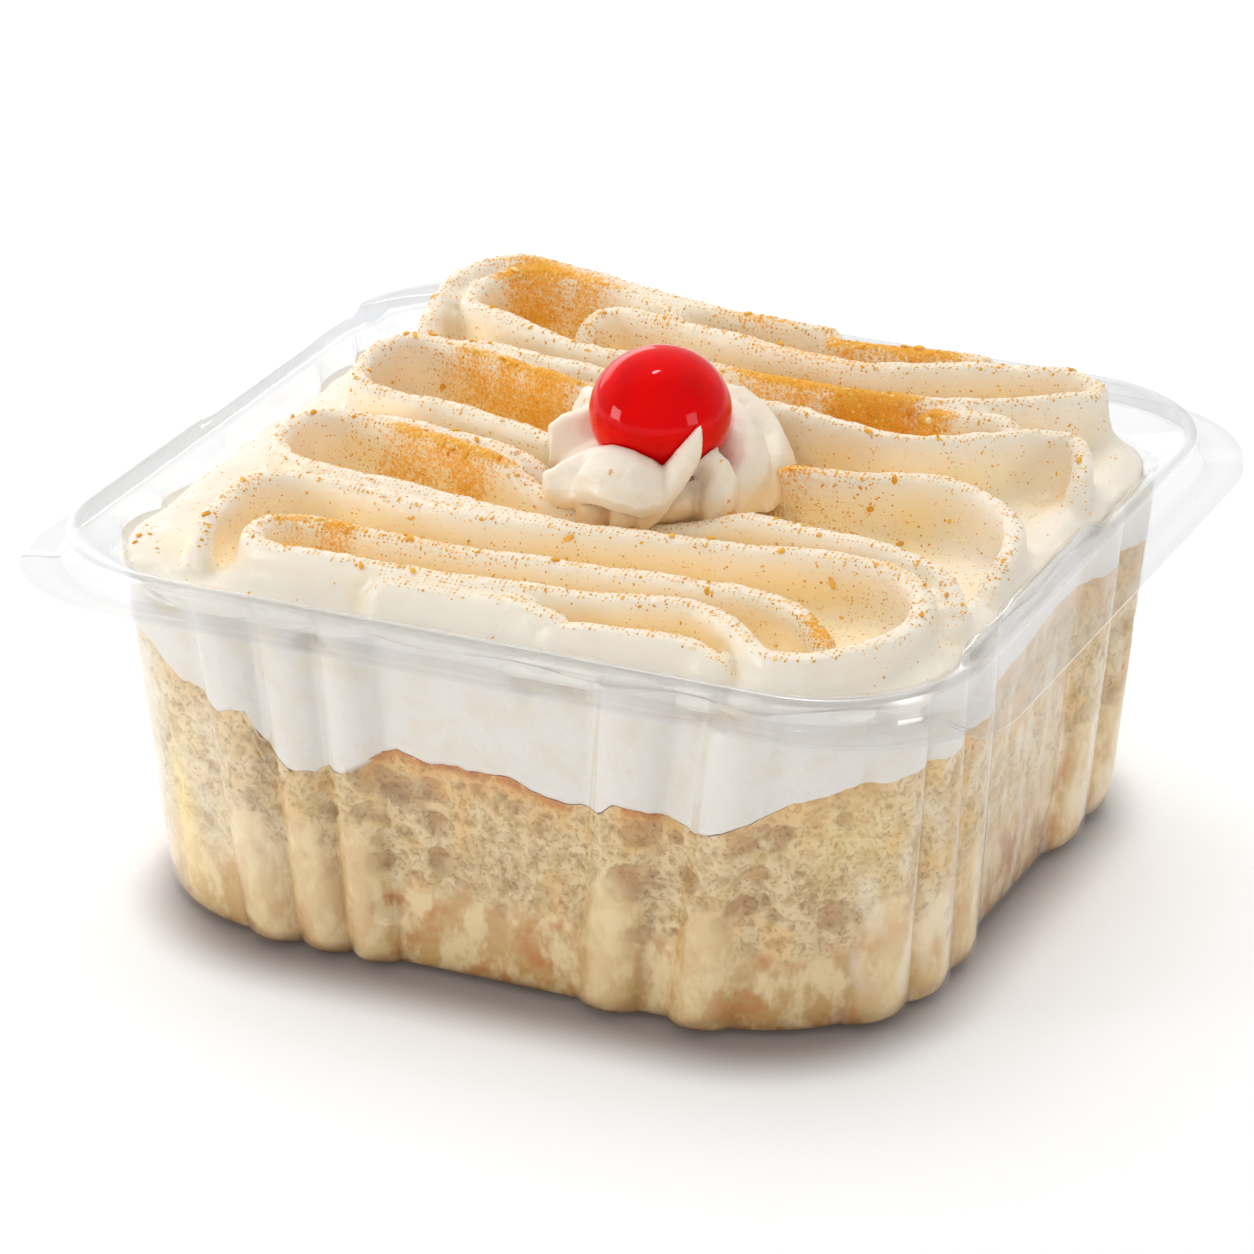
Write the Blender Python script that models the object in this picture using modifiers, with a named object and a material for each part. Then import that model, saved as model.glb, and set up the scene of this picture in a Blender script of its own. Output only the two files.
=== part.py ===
"""Tres leches cake in its clear deli tub.

A ribbed thermoformed tub holds a milk-soaked sponge, a layer of whipped cream, a
cream ribbon piped back and forth on its edge, and a star rosette with a cherry.
Lengths are millimetres and become metres where vertices are made. The origin is
the middle of the tub's underside, the broad front faces -Y and +Z is up.
"""
import math
import random

import bmesh
import bpy
from mathutils import Matrix, Vector
from mathutils.kdtree import KDTree

MM = 0.001
GAP = 0.3

# Tub: half sizes of the wall between its ribs, rim and flange. Heights in this file
# are measured from FOOT_DEPTH above the underside.
SHEET = 0.5
FOOT_DEPTH = 1.0
BASE_HALF = (54.5, 52.3)
BASE_RADIUS = 23.6
WALL_TOP_HALF = (58.2, 53.2)
WALL_TOP_RADIUS = 20.0
WALL_TOP_Z = 46.3
RIDGE_HALF = (63.5, 58.3)
RIDGE_RADIUS = 20.5
RIDGE_Z = 50.9
FLANGE_HALF = (70.0, 62.9)
FLANGE_RADIUS = 22.7
FLANGE_Z = 47.0
RIB_DEPTH = 2.6
SIDE_STRIP_REACH = 40.0
SIDE_STRIP_DROP = 1.0
HUMP_SPAN = (-34.0, 8.0)
HUMP_RISE = 1.6

# Places along a wall run over a straight and two half corners of these sizes; ribs are
# spans along the front and back walls, and along the two side walls
MARK_STRAIGHT = 31.3
MARK_RADIUS = 20.0
WALL_LENGTH = 2 * (MARK_STRAIGHT + MARK_RADIUS * math.pi / 4)
FRONT_RIBS = ((-33.4, -25.8), (-25.8, -18.4), (-18.4, -11.6), (14.6, 23.0), (27.2, 35.0))
SIDE_RIBS = ((-46.0, -37.0), (-37.0, -28.7), (-28.7, -17.7), (14.0, 26.0), (26.0, 37.4))
RIB_STEPS = (0.0, 0.2, 0.5, 0.8)
CORNER_STEPS = 3


# What fills the tub stands clear of its wall by this inset and shallower ribs
FILL_INSET = 1.05
FILL_RIB_SHARE = 0.78
FLOOR_Z = SHEET + GAP - FOOT_DEPTH

# Sponge top along the wall: (distance round from the front's middle, height)
SPONGE_MEAN_Z = 33.0
SPONGE_EDGE = (
    (-44, 36.0), (-33, 32.5), (-25, 26.0), (-18, 27.0), (-11, 30.5), (4, 29.8), (13, 28.0),
    (21, 30.0), (30, 28.0), (40, 31.0), (48, 34.5), (62, 35.5), (80, 38.0), (100, 40.5),
    (125, 39.5), (140, 36.5), (165, 34.0), (195, 36.5), (215, 33.0), (235, 35.0),
    (255, 39.0), (280, 37.0), (305, 35.0), (320, 36.5),
)

# Cream: where the layer ends and the ribbon bed starts
LAYER_TOP_Z = 45.4
BED_Z = LAYER_TOP_Z + GAP
VALLEY_Z = 47.4
BED_HALF = (56.0, 51.2)
BED_RADIUS = 19.0
GRID_STEP = 1.1
CREST_HALF = 1.5
CREST_ROUND = 0.35
FLANK_REACH = 1.9
CREAM_RATIO = 0.19

# The piped ribbon's crest as routes of (x, y, height), chosen by eye
FRONT_ROUTE = (
    (46, -44, 51.5), (40, -38.5, 53.5), (33, -35, 54), (14, -36, 54), (-13, -38, 54),
    (-30, -37, 54), (-36, -40, 54), (-35, -45, 54), (-28, -47, 54), (-4, -46, 54),
    (13, -44, 54), (26, -41.5, 54), (33, -45, 54), (39, -49.3, 53), (45, -48, 53),
    (50.5, -41, 53), (52.5, -33, 53), (50, -25, 54), (42, -21.5, 55), (26, -24, 55),
    (7, -26.5, 55), (-12, -29, 55), (-32, -26.5, 55), (-41, -27.5, 55), (-44, -33, 54.5),
    (-44, -41, 53), (-42, -46.5, 49.5),
)
SECOND_ROUTE = (
    (13, -24.5, 54.6), (0, -26.8, 55), (-13, -25.8, 55), (-25, -23.8, 55), (-36, -22.6, 55),
    (-43, -20.5, 55), (-46.5, -15, 55.5), (-45, -9, 56), (-39, -6.2, 56), (-28, -9, 56),
    (-15, -12.5, 56), (-6, -15.5, 53), (6, -16, 51.5), (15, -15, 52.8), (22, -14.5, 55),
    (30, -15.5, 55), (42, -16.5, 55), (50, -19, 54), (54.6, -24, 52), (55.5, -28, 49),
)
SECOND_TWIN = ((-38, -4.8, 55.5), (-28, -6, 55.8), (-15, -8.5, 55.5), (-8, -9, 52.8), (0, -9, 51.5))
THIRD_ROUTE = (
    (54.6, -16, 49.5), (55.6, -9, 53), (54, -2, 54.5), (50, 2.5, 55), (43, 5, 56),
    (35, 3.5, 56), (25, 1, 56), (20, 1.6, 55.2), (12, 1.4, 52.6), (0, -1, 52), (-7, -2.5, 52.8),
    (-13, -3, 56), (-26, 1, 56), (-37, 2.5, 56), (-44, 4.5, 56), (-47, 11, 56.5),
    (-46, 18, 57), (-42, 20.8, 57), (-33, 19, 57), (-22, 15.5, 57), (-13, 14, 57),
    (0, 16, 57), (12, 18, 57), (22, 15.5, 57), (30, 14, 57), (36, 16, 57), (41, 21, 56.5),
    (47, 25.5, 56), (52, 25.5, 56), (54.8, 21, 54.5), (55.4, 16, 50),
)
THIRD_TWIN = ((-40, 21.5, 56.5), (-34, 22.3, 57), (-27, 21, 57), (-17, 19.5, 57), (-6, 19, 56.5))
THIRD_END = ((29, 24.5, 56), (35, 26, 56.5), (40.5, 27, 56.5), (44.5, 24.8, 56))
FOURTH_ROUTE = (
    (-12, 41, 57), (-20, 45, 58), (-30, 47.6, 58.2), (-38, 48, 58.4), (-42, 45, 58.2),
    (-43.5, 40, 58), (-42, 34, 58), (-37, 31.5, 58), (-28, 28.3, 57.5), (-18, 26, 57),
    (-8, 27.5, 57), (8, 26.5, 57), (22, 27.5, 57), (33, 29, 57), (39, 32, 57), (44.5, 36, 57),
    (48.6, 40.6, 56.5), (48, 44.6, 56.5), (43, 45.8, 57), (37, 43.2, 57.5), (29, 39.5, 58),
    (22, 35.5, 58), (14, 34, 58), (3, 35.5, 58), (-8, 37.3, 58), (-16, 38.7, 58),
    (-21, 39.5, 57.8), (-24, 37, 57.3), (-24, 32, 56),
)
OUTER_ROUTE = (
    (-45.5, 26, 55.5), (-47, 34, 57.5), (-47.4, 41, 58.4), (-45.5, 46.5, 58.8),
    (-40, 49.8, 59), (-30, 49.2, 58.6), (-20, 47, 58.2), (-8, 45, 58), (2, 44.3, 58),
    (11, 45.6, 57.6),
)
BACK_SCRAP = ((15, 43, 57.3), (24, 43.8, 57.5), (34, 46, 57))
LEFT_FOLD = ((-17, -50.2, 50.5), (-14, -48.9, 52.4), (-5, -48.7, 53), (6, -49, 53), (13, -49.6, 52))
RIGHT_FOLD = ((8, -50.4, 50.5), (13, -50, 52.2), (22, -49.6, 52.5), (28, -49, 52.5), (35, -50.4, 50.5))
ROUTES = (
    FRONT_ROUTE, SECOND_ROUTE, SECOND_TWIN, THIRD_ROUTE, THIRD_TWIN, THIRD_END,
    FOURTH_ROUTE, OUTER_ROUTE, BACK_SCRAP, LEFT_FOLD, RIGHT_FOLD,
)

# Largest cinnamon crumbs: (x, y) where each cluster lies, spread, how many
CRUMB_CLUSTERS = (((28, 21), (7, 2.5), 9), ((8, -44.5), (16, 0.8), 6), ((-10, -27), (16, 0.8), 4))
CRUMB_RADIUS = (0.7, 1.1)
CRUMB_SINK = 0.35
CRUMB_SEED = 11

# Rosette and cherry
ROSETTE_XY = (6.0, -7.5)
ROSETTE_Z = 53.4
ROSETTE_PETALS = 8
ROSETTE_STATIONS = 48
ROSETTE_TWIST = math.radians(34)
PETAL_LEAN = 0.62

# Rosette rings: (rise, radius, petal depth, share of the twist, peak of the petals)
ROSETTE_PROFILE = (
    (0.0, 12.0, 0.12, 0.0, 0.0),
    (0.9, 15.0, 0.2, 0.1, 0.0),
    (2.6, 16.4, 0.24, 0.3, 0.0),
    (4.4, 15.4, 0.24, 0.55, 0.5),
    (6.0, 13.2, 0.2, 0.8, 1.0),
    (6.8, 10.8, 0.06, 1.0, 1.2),
)
CUP_GAP = 0.5
CUP_SHARES = (0.74, 0.55, 0.34, 0.12)
CHERRY_RADIUS = 9.45
CHERRY_Z = 64.0
CHERRY_SQUASH = 0.93

CLEAR_PLASTIC = ("clear_plastic", (0.93, 0.94, 0.95), 0.08)
SPONGE_CRUMB = ("sponge_crumb", (0.86, 0.74, 0.50), 0.75)
WHIPPED_CREAM = ("whipped_cream", (0.96, 0.92, 0.82), 0.45)
PIPED_CREAM = ("piped_cream", (0.95, 0.88, 0.74), 0.45)
ROSETTE_CREAM = ("rosette_cream", (0.98, 0.96, 0.91), 0.40)
CHERRY_SKIN = ("cherry_skin", (0.75, 0.01, 0.01), 0.08)


def clear_scene():
    """Removes every object of the open scene."""
    for item in list(bpy.data.objects):
        bpy.data.objects.remove(item, do_unlink=True)


def make_collection(name):
    """Links a new collection of that name to the scene."""
    group = bpy.data.collections.new(name)
    bpy.context.scene.collection.children.link(group)
    return group


def make_material(finish):
    """Makes a Principled material from a (name, colour, roughness) finish."""
    name, colour, roughness = finish
    material = bpy.data.materials.new(name)
    material.use_nodes = True
    shader = material.node_tree.nodes["Principled BSDF"]
    shader.inputs["Base Color"].default_value = (*colour, 1.0)
    shader.inputs["Roughness"].default_value = roughness
    shader.inputs["Metallic"].default_value = 0.0
    if name == CLEAR_PLASTIC[0]:
        shader.inputs["Transmission Weight"].default_value = 0.9
    return material


def add_object(name, mesh, group, finish=None, smooth_angle=40.0):
    """Links a mesh as an object, with its finish and smooth shading."""
    item = bpy.data.objects.new(name, mesh)
    group.objects.link(item)
    if finish is not None:
        mesh.materials.append(make_material(finish))
        mesh.shade_smooth()
        mesh.set_sharp_from_angle(angle=math.radians(smooth_angle))
    return item


def bake(item):
    """Replaces an object's mesh by its evaluated mesh and drops the modifiers."""
    graph = bpy.context.evaluated_depsgraph_get()
    mesh = bpy.data.meshes.new_from_object(item.evaluated_get(graph))
    old = item.data
    item.modifiers.clear()
    item.data = mesh
    mesh.name = item.name
    bpy.data.meshes.remove(old)


def mix(low, high, share):
    """Linear mix of two numbers."""
    return low + (high - low) * share


def smoothstep(value):
    """Smooth 0 to 1 ramp."""
    value = min(max(value, 0.0), 1.0)
    return value * value * (3.0 - 2.0 * value)


# Outline of the tub: stations shared by every ring

def side_stations(ribs, coarse):
    """Places along one wall as (distance from its middle, rib bulge share)."""
    straight = MARK_STRAIGHT
    reach = WALL_LENGTH / 2
    steps = RIB_STEPS[::2] if coarse else RIB_STEPS
    marks = {}
    for start, end in ribs:
        for step in steps:
            marks[round(mix(start, end, step), 3)] = math.sin(math.pi * step) ** 0.7 if step else 0.0
        marks.setdefault(round(end, 3), 0.0)
    plain = [-straight, 0.0, straight]
    plain += [mix(-reach, -straight, k / CORNER_STEPS) for k in range(CORNER_STEPS)]
    plain += [mix(straight, reach, k / CORNER_STEPS) for k in range(1, CORNER_STEPS)]
    for mark in plain:
        inside = any(start - 1.0 < mark < end + 1.0 for start, end in ribs)
        if not inside:
            marks[round(mark, 3)] = 0.0
    return sorted(marks.items())


def all_stations(coarse=False):
    """Stations round the tub as (wall number, distance along it, rib bulge share)."""
    found = []
    for wall in range(4):
        ribs = FRONT_RIBS if wall % 2 == 0 else SIDE_RIBS
        found += [(wall, mark, share) for mark, share in side_stations(ribs, coarse)]
    return found


def outline_point(station, half, radius, rib):
    """Plan point of a station on a rounded rectangle with its rib bulge."""
    wall, mark, share = station
    along_half = half[0] if wall % 2 == 0 else half[1]
    out_half = half[1] if wall % 2 == 0 else half[0]
    bulge = rib * share
    if abs(mark) <= MARK_STRAIGHT:
        along = mark / MARK_STRAIGHT * (along_half - radius)
        out = out_half + bulge
    else:
        angle = (abs(mark) - MARK_STRAIGHT) / MARK_RADIUS
        along = along_half - radius + (radius + bulge) * math.sin(angle)
        along = math.copysign(along, mark)
        out = out_half - radius + (radius + bulge) * math.cos(angle)
    turn = wall * math.pi / 2
    return (along * math.cos(turn) + out * math.sin(turn),
            along * math.sin(turn) - out * math.cos(turn))


def wall_half(z):
    """Half sizes of the wall at a height, between its ribs."""
    share = (z + FOOT_DEPTH) / (WALL_TOP_Z + FOOT_DEPTH)
    return (mix(BASE_HALF[0], WALL_TOP_HALF[0], share), mix(BASE_HALF[1], WALL_TOP_HALF[1], share))


def wall_radius(z, by=0.0):
    """Corner radius of the wall at a height, drawn in by an inset."""
    return mix(BASE_RADIUS, WALL_TOP_RADIUS, (z + FOOT_DEPTH) / (WALL_TOP_Z + FOOT_DEPTH)) - by


def inset(half, by):
    """Half sizes drawn in by the same amount on each side."""
    return (half[0] - by, half[1] - by)


def loft(name, rings, close_top, turned_split=False):
    """Mesh that joins rings of equal length; the first ring is closed, the last if asked.

    Rings run counterclockwise from below to above, so every face points outwards. The
    four-sided faces are split alike, so two lofts that run side by side stay clear.
    """
    mesh = bpy.data.meshes.new(name)
    form = bmesh.new()
    rows = [[form.verts.new(Vector(point) * MM) for point in ring] for ring in rings]
    count = len(rows[0])
    for lower, upper in zip(rows, rows[1:]):
        for k in range(count):
            a, b = lower[k], lower[(k + 1) % count]
            c, d = upper[(k + 1) % count], upper[k]
            halves = ((a, b, d), (b, c, d)) if turned_split else ((a, b, c), (a, c, d))
            for half in halves:
                form.faces.new(half)
    form.faces.new(list(reversed(rows[0])))
    if close_top:
        form.faces.new(rows[-1])
    form.to_mesh(mesh)
    form.free()
    return mesh


# Tub

def hump_share(station):
    """1 where a station of a side wall stands in the raised stretch of the ledge."""
    wall, mark, _ = station
    return 1.0 if wall % 2 and HUMP_SPAN[0] < mark < HUMP_SPAN[1] else 0.0


def strip_drop(station):
    """Drop of the flange along the middle of the two side walls."""
    wall, mark, _ = station
    return SIDE_STRIP_DROP if wall % 2 and abs(mark) < SIDE_STRIP_REACH else 0.0


def build_tub(group):
    """Ribbed tub: one open surface from the underside to the flange, given a wall."""
    under = -FOOT_DEPTH
    bottom, foot = wall_half(under), wall_half(under + 4.0)
    mid = ((WALL_TOP_HALF[0] + RIDGE_HALF[0]) / 2, (WALL_TOP_HALF[1] + RIDGE_HALF[1]) / 2)
    profile = (
        (under, inset(bottom, 4.2), wall_radius(under, 4.2), 0.0),
        (under, inset(bottom, 1.3), wall_radius(under, 1.3), 0.6),
        (under + 1.2, inset(bottom, 0.2), wall_radius(under, 0.2), 0.9),
        (under + 4.0, foot, wall_radius(under + 4.0), 1.0),
        (WALL_TOP_Z, WALL_TOP_HALF, WALL_TOP_RADIUS, 0.85),
        (WALL_TOP_Z + 1.9, inset(WALL_TOP_HALF, -0.8), 20.4, 0.6),
        (RIDGE_Z - 0.9, mid, 20.6, 0.1),
        (RIDGE_Z, inset(RIDGE_HALF, 0.5), RIDGE_RADIUS, 0.0),
        (RIDGE_Z - 0.3, RIDGE_HALF, RIDGE_RADIUS, 0.0),
        (FLANGE_Z + 0.6, inset(RIDGE_HALF, -0.4), 20.8, 0.0),
        (FLANGE_Z, inset(RIDGE_HALF, -1.3), 21.2, 0.0),
        (FLANGE_Z, FLANGE_HALF, FLANGE_RADIUS, 0.0),
    )
    ledge_rows = (5, 6)
    flange_rows = (10, 11)
    rings = []
    for row, (z, half, radius, rib) in enumerate(profile):
        ring = []
        for station in all_stations():
            x, y = outline_point(station, half, radius, rib * RIB_DEPTH)
            lift = HUMP_RISE * hump_share(station) if row in ledge_rows else 0.0
            drop = strip_drop(station) if row in flange_rows else 0.0
            ring.append((x, y, z + lift - drop))
        rings.append(ring)
    tub = add_object("tub", loft("tub", rings, False), group, CLEAR_PLASTIC, 30.0)
    wall = tub.modifiers.new("sheet", "SOLIDIFY")
    wall.thickness = SHEET * MM
    wall.offset = -1.0
    return tub


# Sponge and cream layer

def sponge_edge(station):
    """Height of the sponge's top at the wall, read from the looped SPONGE_EDGE."""
    wall, mark, _ = station
    place = (wall * WALL_LENGTH + mark) % (4 * WALL_LENGTH)
    places = sorted((away % (4 * WALL_LENGTH), height) for away, height in SPONGE_EDGE)
    places.append((places[0][0] + 4 * WALL_LENGTH, places[0][1]))
    if place < places[0][0]:
        place += 4 * WALL_LENGTH
    for (start, low), (end, high) in zip(places, places[1:]):
        if start <= place <= end:
            return mix(low, high, smoothstep((place - start) / (end - start)))
    return places[0][1]


def cream_edge(station):
    """Height of the cream layer's top at the wall: low mounds."""
    wall, mark, _ = station
    return LAYER_TOP_Z + 0.7 + 0.7 * math.sin(0.21 * mark + 1.9 * wall)


def fill_ring(z_rule, stations):
    """Ring of the filling along the wall: its height may differ from station to station."""
    ring = []
    for station in stations:
        z = z_rule(station)
        x, y = outline_point(station, fill_half(z), wall_radius(z, FILL_INSET), RIB_DEPTH * FILL_RIB_SHARE)
        ring.append((x, y, z))
    return ring


def shrunk_ring(share, z_rule, stations):
    """Ring well inside the tub, a share of the way out from the middle."""
    half = inset(wall_half(SPONGE_MEAN_Z), FILL_INSET)
    ring = []
    for station in stations:
        x, y = outline_point(station, half, WALL_TOP_RADIUS, 0.0)
        ring.append((x * share, y * share, z_rule(station)))
    return ring


def fill_half(z):
    """Half sizes of the filling at a height."""
    return inset(wall_half(z), FILL_INSET)


def build_sponge(group):
    """Milk-soaked sponge, pressed into the tub up to an uneven top."""
    stations = all_stations(coarse=True)
    rings = []
    for by, rib, rise in ((4.2, 0.0, 0.0), (1.2, 1.0, 0.3), (0.3, 1.7, 1.6)):
        half, radius = inset(fill_half(FLOOR_Z), by), wall_radius(FLOOR_Z, FILL_INSET + by)
        rings.append([(*outline_point(s, half, radius, rib), FLOOR_Z + rise) for s in stations])
    rings += [
        fill_ring(lambda s: FLOOR_Z + 4.4, stations),
        fill_ring(sponge_edge, stations),
        shrunk_ring(0.93, lambda s: mix(sponge_edge(s), SPONGE_MEAN_Z, 0.2) + 0.5, stations),
        shrunk_ring(0.62, lambda s: mix(sponge_edge(s), SPONGE_MEAN_Z, 0.8), stations),
        shrunk_ring(0.3, lambda s: SPONGE_MEAN_Z, stations),
    ]
    return add_object("sponge", loft("sponge", rings, True), group, SPONGE_CRUMB)


def build_cream_layer(group):
    """White cream from the sponge up to the rim, all the way to the wall."""
    stations = all_stations(coarse=True)
    lift = GAP + 0.15
    rings = [
        shrunk_ring(0.3, lambda s: SPONGE_MEAN_Z + lift, stations),
        shrunk_ring(0.62, lambda s: mix(sponge_edge(s), SPONGE_MEAN_Z, 0.8) + lift, stations),
        shrunk_ring(0.93, lambda s: mix(sponge_edge(s), SPONGE_MEAN_Z, 0.2) + 0.5 + lift, stations),
        fill_ring(lambda s: sponge_edge(s) + lift, stations),
        fill_ring(cream_edge, stations),
        [(*outline_point(s, inset(BED_HALF, -0.4), BED_RADIUS, 0.0), LAYER_TOP_Z) for s in stations],
        [(*outline_point(s, inset(BED_HALF, 6.0), BED_RADIUS, 0.0), LAYER_TOP_Z) for s in stations],
    ]
    mesh = loft("cream_layer", rings, True, turned_split=True)
    return add_object("cream_layer", mesh, group, WHIPPED_CREAM)


# Piped ribbon

def smooth_route(points, steps=6):
    """Catmull-Rom curve through a route's points."""
    chain = [Vector(p) for p in points]
    chain = [chain[0] * 2 - chain[1]] + chain + [chain[-1] * 2 - chain[-2]]
    curve = []
    for a, b, c, d in zip(chain, chain[1:], chain[2:], chain[3:]):
        for k in range(steps):
            t = k / steps
            curve.append(0.5 * (2 * b + (c - a) * t + (2 * a - 5 * b + 4 * c - d) * t * t
                                + (3 * b - a - 3 * c + d) * t ** 3))
    curve.append(chain[-2])
    return curve


def crest_trees():
    """One search tree of plan points for each route, with its crest heights."""
    trees = []
    for route in ROUTES:
        curve = smooth_route(route)
        tree = KDTree(len(curve))
        for k, point in enumerate(curve):
            tree.insert((point.x, point.y, 0.0), k)
        tree.balance()
        trees.append((tree, curve))
    return trees


def crest_distance(tree, curve, x, y):
    """Distance from a plan point to a route, and the crest height there."""
    _, k, _ = tree.find((x, y, 0.0))
    best = None
    for a, b in zip(curve[max(k - 1, 0):k + 1], curve[max(k - 1, 0) + 1:k + 2]):
        span = (b.x - a.x) ** 2 + (b.y - a.y) ** 2
        t = ((x - a.x) * (b.x - a.x) + (y - a.y) * (b.y - a.y)) / max(span, 1e-9)
        t = min(max(t, 0.0), 1.0)
        away = math.hypot(mix(a.x, b.x, t) - x, mix(a.y, b.y, t) - y)
        if best is None or away < best[0]:
            best = (away, mix(a.z, b.z, t))
    return best


def ribbon_height(trees, x, y):
    """Height of the ribbon's surface: the highest of its standing folds, or the valley."""
    top = VALLEY_Z
    for tree, curve in trees:
        away, crest = crest_distance(tree, curve, x, y)
        if away > 14.0:
            continue
        if away < CREST_HALF:
            height = crest - CREST_ROUND * (away / CREST_HALF) ** 2
        else:
            fall = 1.0 - math.exp(-(away - CREST_HALF) / FLANK_REACH)
            height = crest - CREST_ROUND - (crest - CREST_ROUND - VALLEY_Z) * fall
        top = max(top, height)
    return top


def ribbon_slab(group, trees):
    """Closed slab with the ribbon's folds as its top."""
    columns = int(2 * (BED_HALF[0] + 1.0) / GRID_STEP)
    rows = int(2 * (BED_HALF[1] + 1.0) / GRID_STEP)
    form = bmesh.new()
    bmesh.ops.create_grid(form, x_segments=columns, y_segments=rows, size=1.0)
    for vert in form.verts:
        x = vert.co.x * (BED_HALF[0] + 1.0)
        y = vert.co.y * (BED_HALF[1] + 1.0)
        vert.co = Vector((x, y, ribbon_height(trees, x, y))) * MM
    rim = [edge for edge in form.edges if edge.is_boundary]
    skirt = bmesh.ops.extrude_edge_only(form, edges=rim)["geom"]
    for vert in (item for item in skirt if isinstance(item, bmesh.types.BMVert)):
        vert.co.z = BED_Z * MM
    bmesh.ops.holes_fill(form, edges=[edge for edge in form.edges if edge.is_boundary])
    bmesh.ops.recalc_face_normals(form, faces=form.faces)
    mesh = bpy.data.meshes.new("cream_ribbon")
    form.to_mesh(mesh)
    form.free()
    return add_object("cream_ribbon", mesh, group)


def bed_prism(group):
    """Upright block of the ribbon bed's rounded outline, used to trim it."""
    stations = all_stations(coarse=True)
    rings = [[(*outline_point(s, BED_HALF, BED_RADIUS, 0.0), z) for s in stations]
             for z in (BED_Z - 5.0, 80.0)]
    prism = add_object("bed_prism", loft("bed_prism", rings, True), group)
    prism.hide_render = True
    prism.display_type = "WIRE"
    return prism


def add_crumbs(group, trees):
    """Largest cinnamon crumbs, half sunk in the cream."""
    draw = random.Random(CRUMB_SEED)
    for (x0, y0), (reach_x, reach_y), count in CRUMB_CLUSTERS:
        for k in range(count):
            x = x0 + reach_x * mix(-1.0, 1.0, (k + draw.random()) / count)
            y = y0 + reach_y * draw.uniform(-1.0, 1.0)
            radius = draw.uniform(*CRUMB_RADIUS)
            z = ribbon_height(trees, x, y) + radius * CRUMB_SINK
            form = bmesh.new()
            bmesh.ops.create_icosphere(form, subdivisions=1, radius=radius * MM)
            for vert in form.verts:
                vert.co *= draw.uniform(0.8, 1.15)
            bmesh.ops.translate(form, verts=form.verts, vec=Vector((x, y, z)) * MM)
            mesh = bpy.data.meshes.new("crumb")
            form.to_mesh(mesh)
            form.free()
            add_object(f"crumb_{len(group.objects):02d}", mesh, group)


def build_cream_ribbon(group, cutters):
    """Cream ribbon piped on its edge in a serpentine, with the largest crumbs fused on."""
    trees = crest_trees()
    ribbon = ribbon_slab(group, trees)
    prism = bed_prism(cutters)
    trim = ribbon.modifiers.new("trim", "BOOLEAN")
    trim.operation = "INTERSECT"
    trim.solver = "MANIFOLD"
    trim.object = prism
    bake(ribbon)
    thin = ribbon.modifiers.new("thin", "DECIMATE")
    thin.ratio = CREAM_RATIO
    bake(ribbon)
    crumbs = make_collection("crumbs")
    add_crumbs(crumbs, trees)
    fuse = ribbon.modifiers.new("fuse", "BOOLEAN")
    fuse.operation = "UNION"
    fuse.solver = "MANIFOLD"
    fuse.operand_type = "COLLECTION"
    fuse.collection = crumbs
    bake(ribbon)
    for crumb in list(crumbs.objects):
        bpy.data.objects.remove(crumb, do_unlink=True)
    bpy.data.collections.remove(crumbs)
    ribbon.data.materials.clear()
    ribbon.data.materials.append(make_material(PIPED_CREAM))
    ribbon.data.shade_smooth()
    ribbon.data.set_sharp_from_angle(angle=math.radians(40))
    return ribbon


# Rosette and cherry

def petal_swell(angle):
    """Swell of the star swirl at an angle: round petals that lean to one side."""
    phase = angle * ROSETTE_PETALS / (2 * math.pi) % 1.0
    return math.sin(math.pi * phase ** PETAL_LEAN) ** 0.7


def build_rosette(group):
    """Star-tip swirl whose petals lean round the cherry that it holds."""
    rings = []
    for rise, radius, depth, turn, peak in ROSETTE_PROFILE:
        ring = []
        for k in range(ROSETTE_STATIONS):
            angle = 2 * math.pi * k / ROSETTE_STATIONS
            swell = petal_swell(angle + turn * ROSETTE_TWIST)
            reach = radius * (1.0 - depth * (1.0 - swell))
            z = ROSETTE_Z + rise + peak * swell
            ring.append((reach * math.cos(angle), reach * math.sin(angle), z))
        rings.append(ring)
    across = CHERRY_RADIUS + CUP_GAP
    deep = CHERRY_RADIUS * CHERRY_SQUASH + CUP_GAP
    for share in CUP_SHARES:
        radius = across * math.sin(share * math.pi / 2)
        z = CHERRY_Z - deep * math.cos(share * math.pi / 2)
        rings.append([(radius * math.cos(2 * math.pi * k / ROSETTE_STATIONS),
                       radius * math.sin(2 * math.pi * k / ROSETTE_STATIONS), z)
                      for k in range(ROSETTE_STATIONS)])
    rosette = add_object("rosette", loft("rosette", rings, True), group, ROSETTE_CREAM)
    rosette.location = Vector((*ROSETTE_XY, 0.0)) * MM
    return rosette


def build_cherry(group):
    """Candied cherry without a stem, a little flattened at its poles."""
    form = bmesh.new()
    bmesh.ops.create_uvsphere(form, u_segments=24, v_segments=14, radius=CHERRY_RADIUS * MM)
    bmesh.ops.scale(form, vec=(1.0, 1.0, CHERRY_SQUASH), verts=form.verts)
    mesh = bpy.data.meshes.new("cherry")
    form.to_mesh(mesh)
    form.free()
    cherry = add_object("cherry", mesh, group, CHERRY_SKIN, 60.0)
    cherry.location = Vector((*ROSETTE_XY, CHERRY_Z)) * MM
    return cherry


def main():
    """Builds the cake and its tub."""
    clear_scene()
    parts = make_collection("tres_leches_cake")
    cutters = make_collection("cutters")
    build_tub(parts)
    build_sponge(parts)
    build_cream_layer(parts)
    build_cream_ribbon(parts, cutters)
    build_rosette(parts)
    build_cherry(parts)
    for item in parts.objects:
        item.data.transform(Matrix.Translation((0.0, 0.0, FOOT_DEPTH * MM)))
        print(item.name, len(item.data.polygons), "faces")
    bpy.context.view_layer.update()


main()
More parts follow.
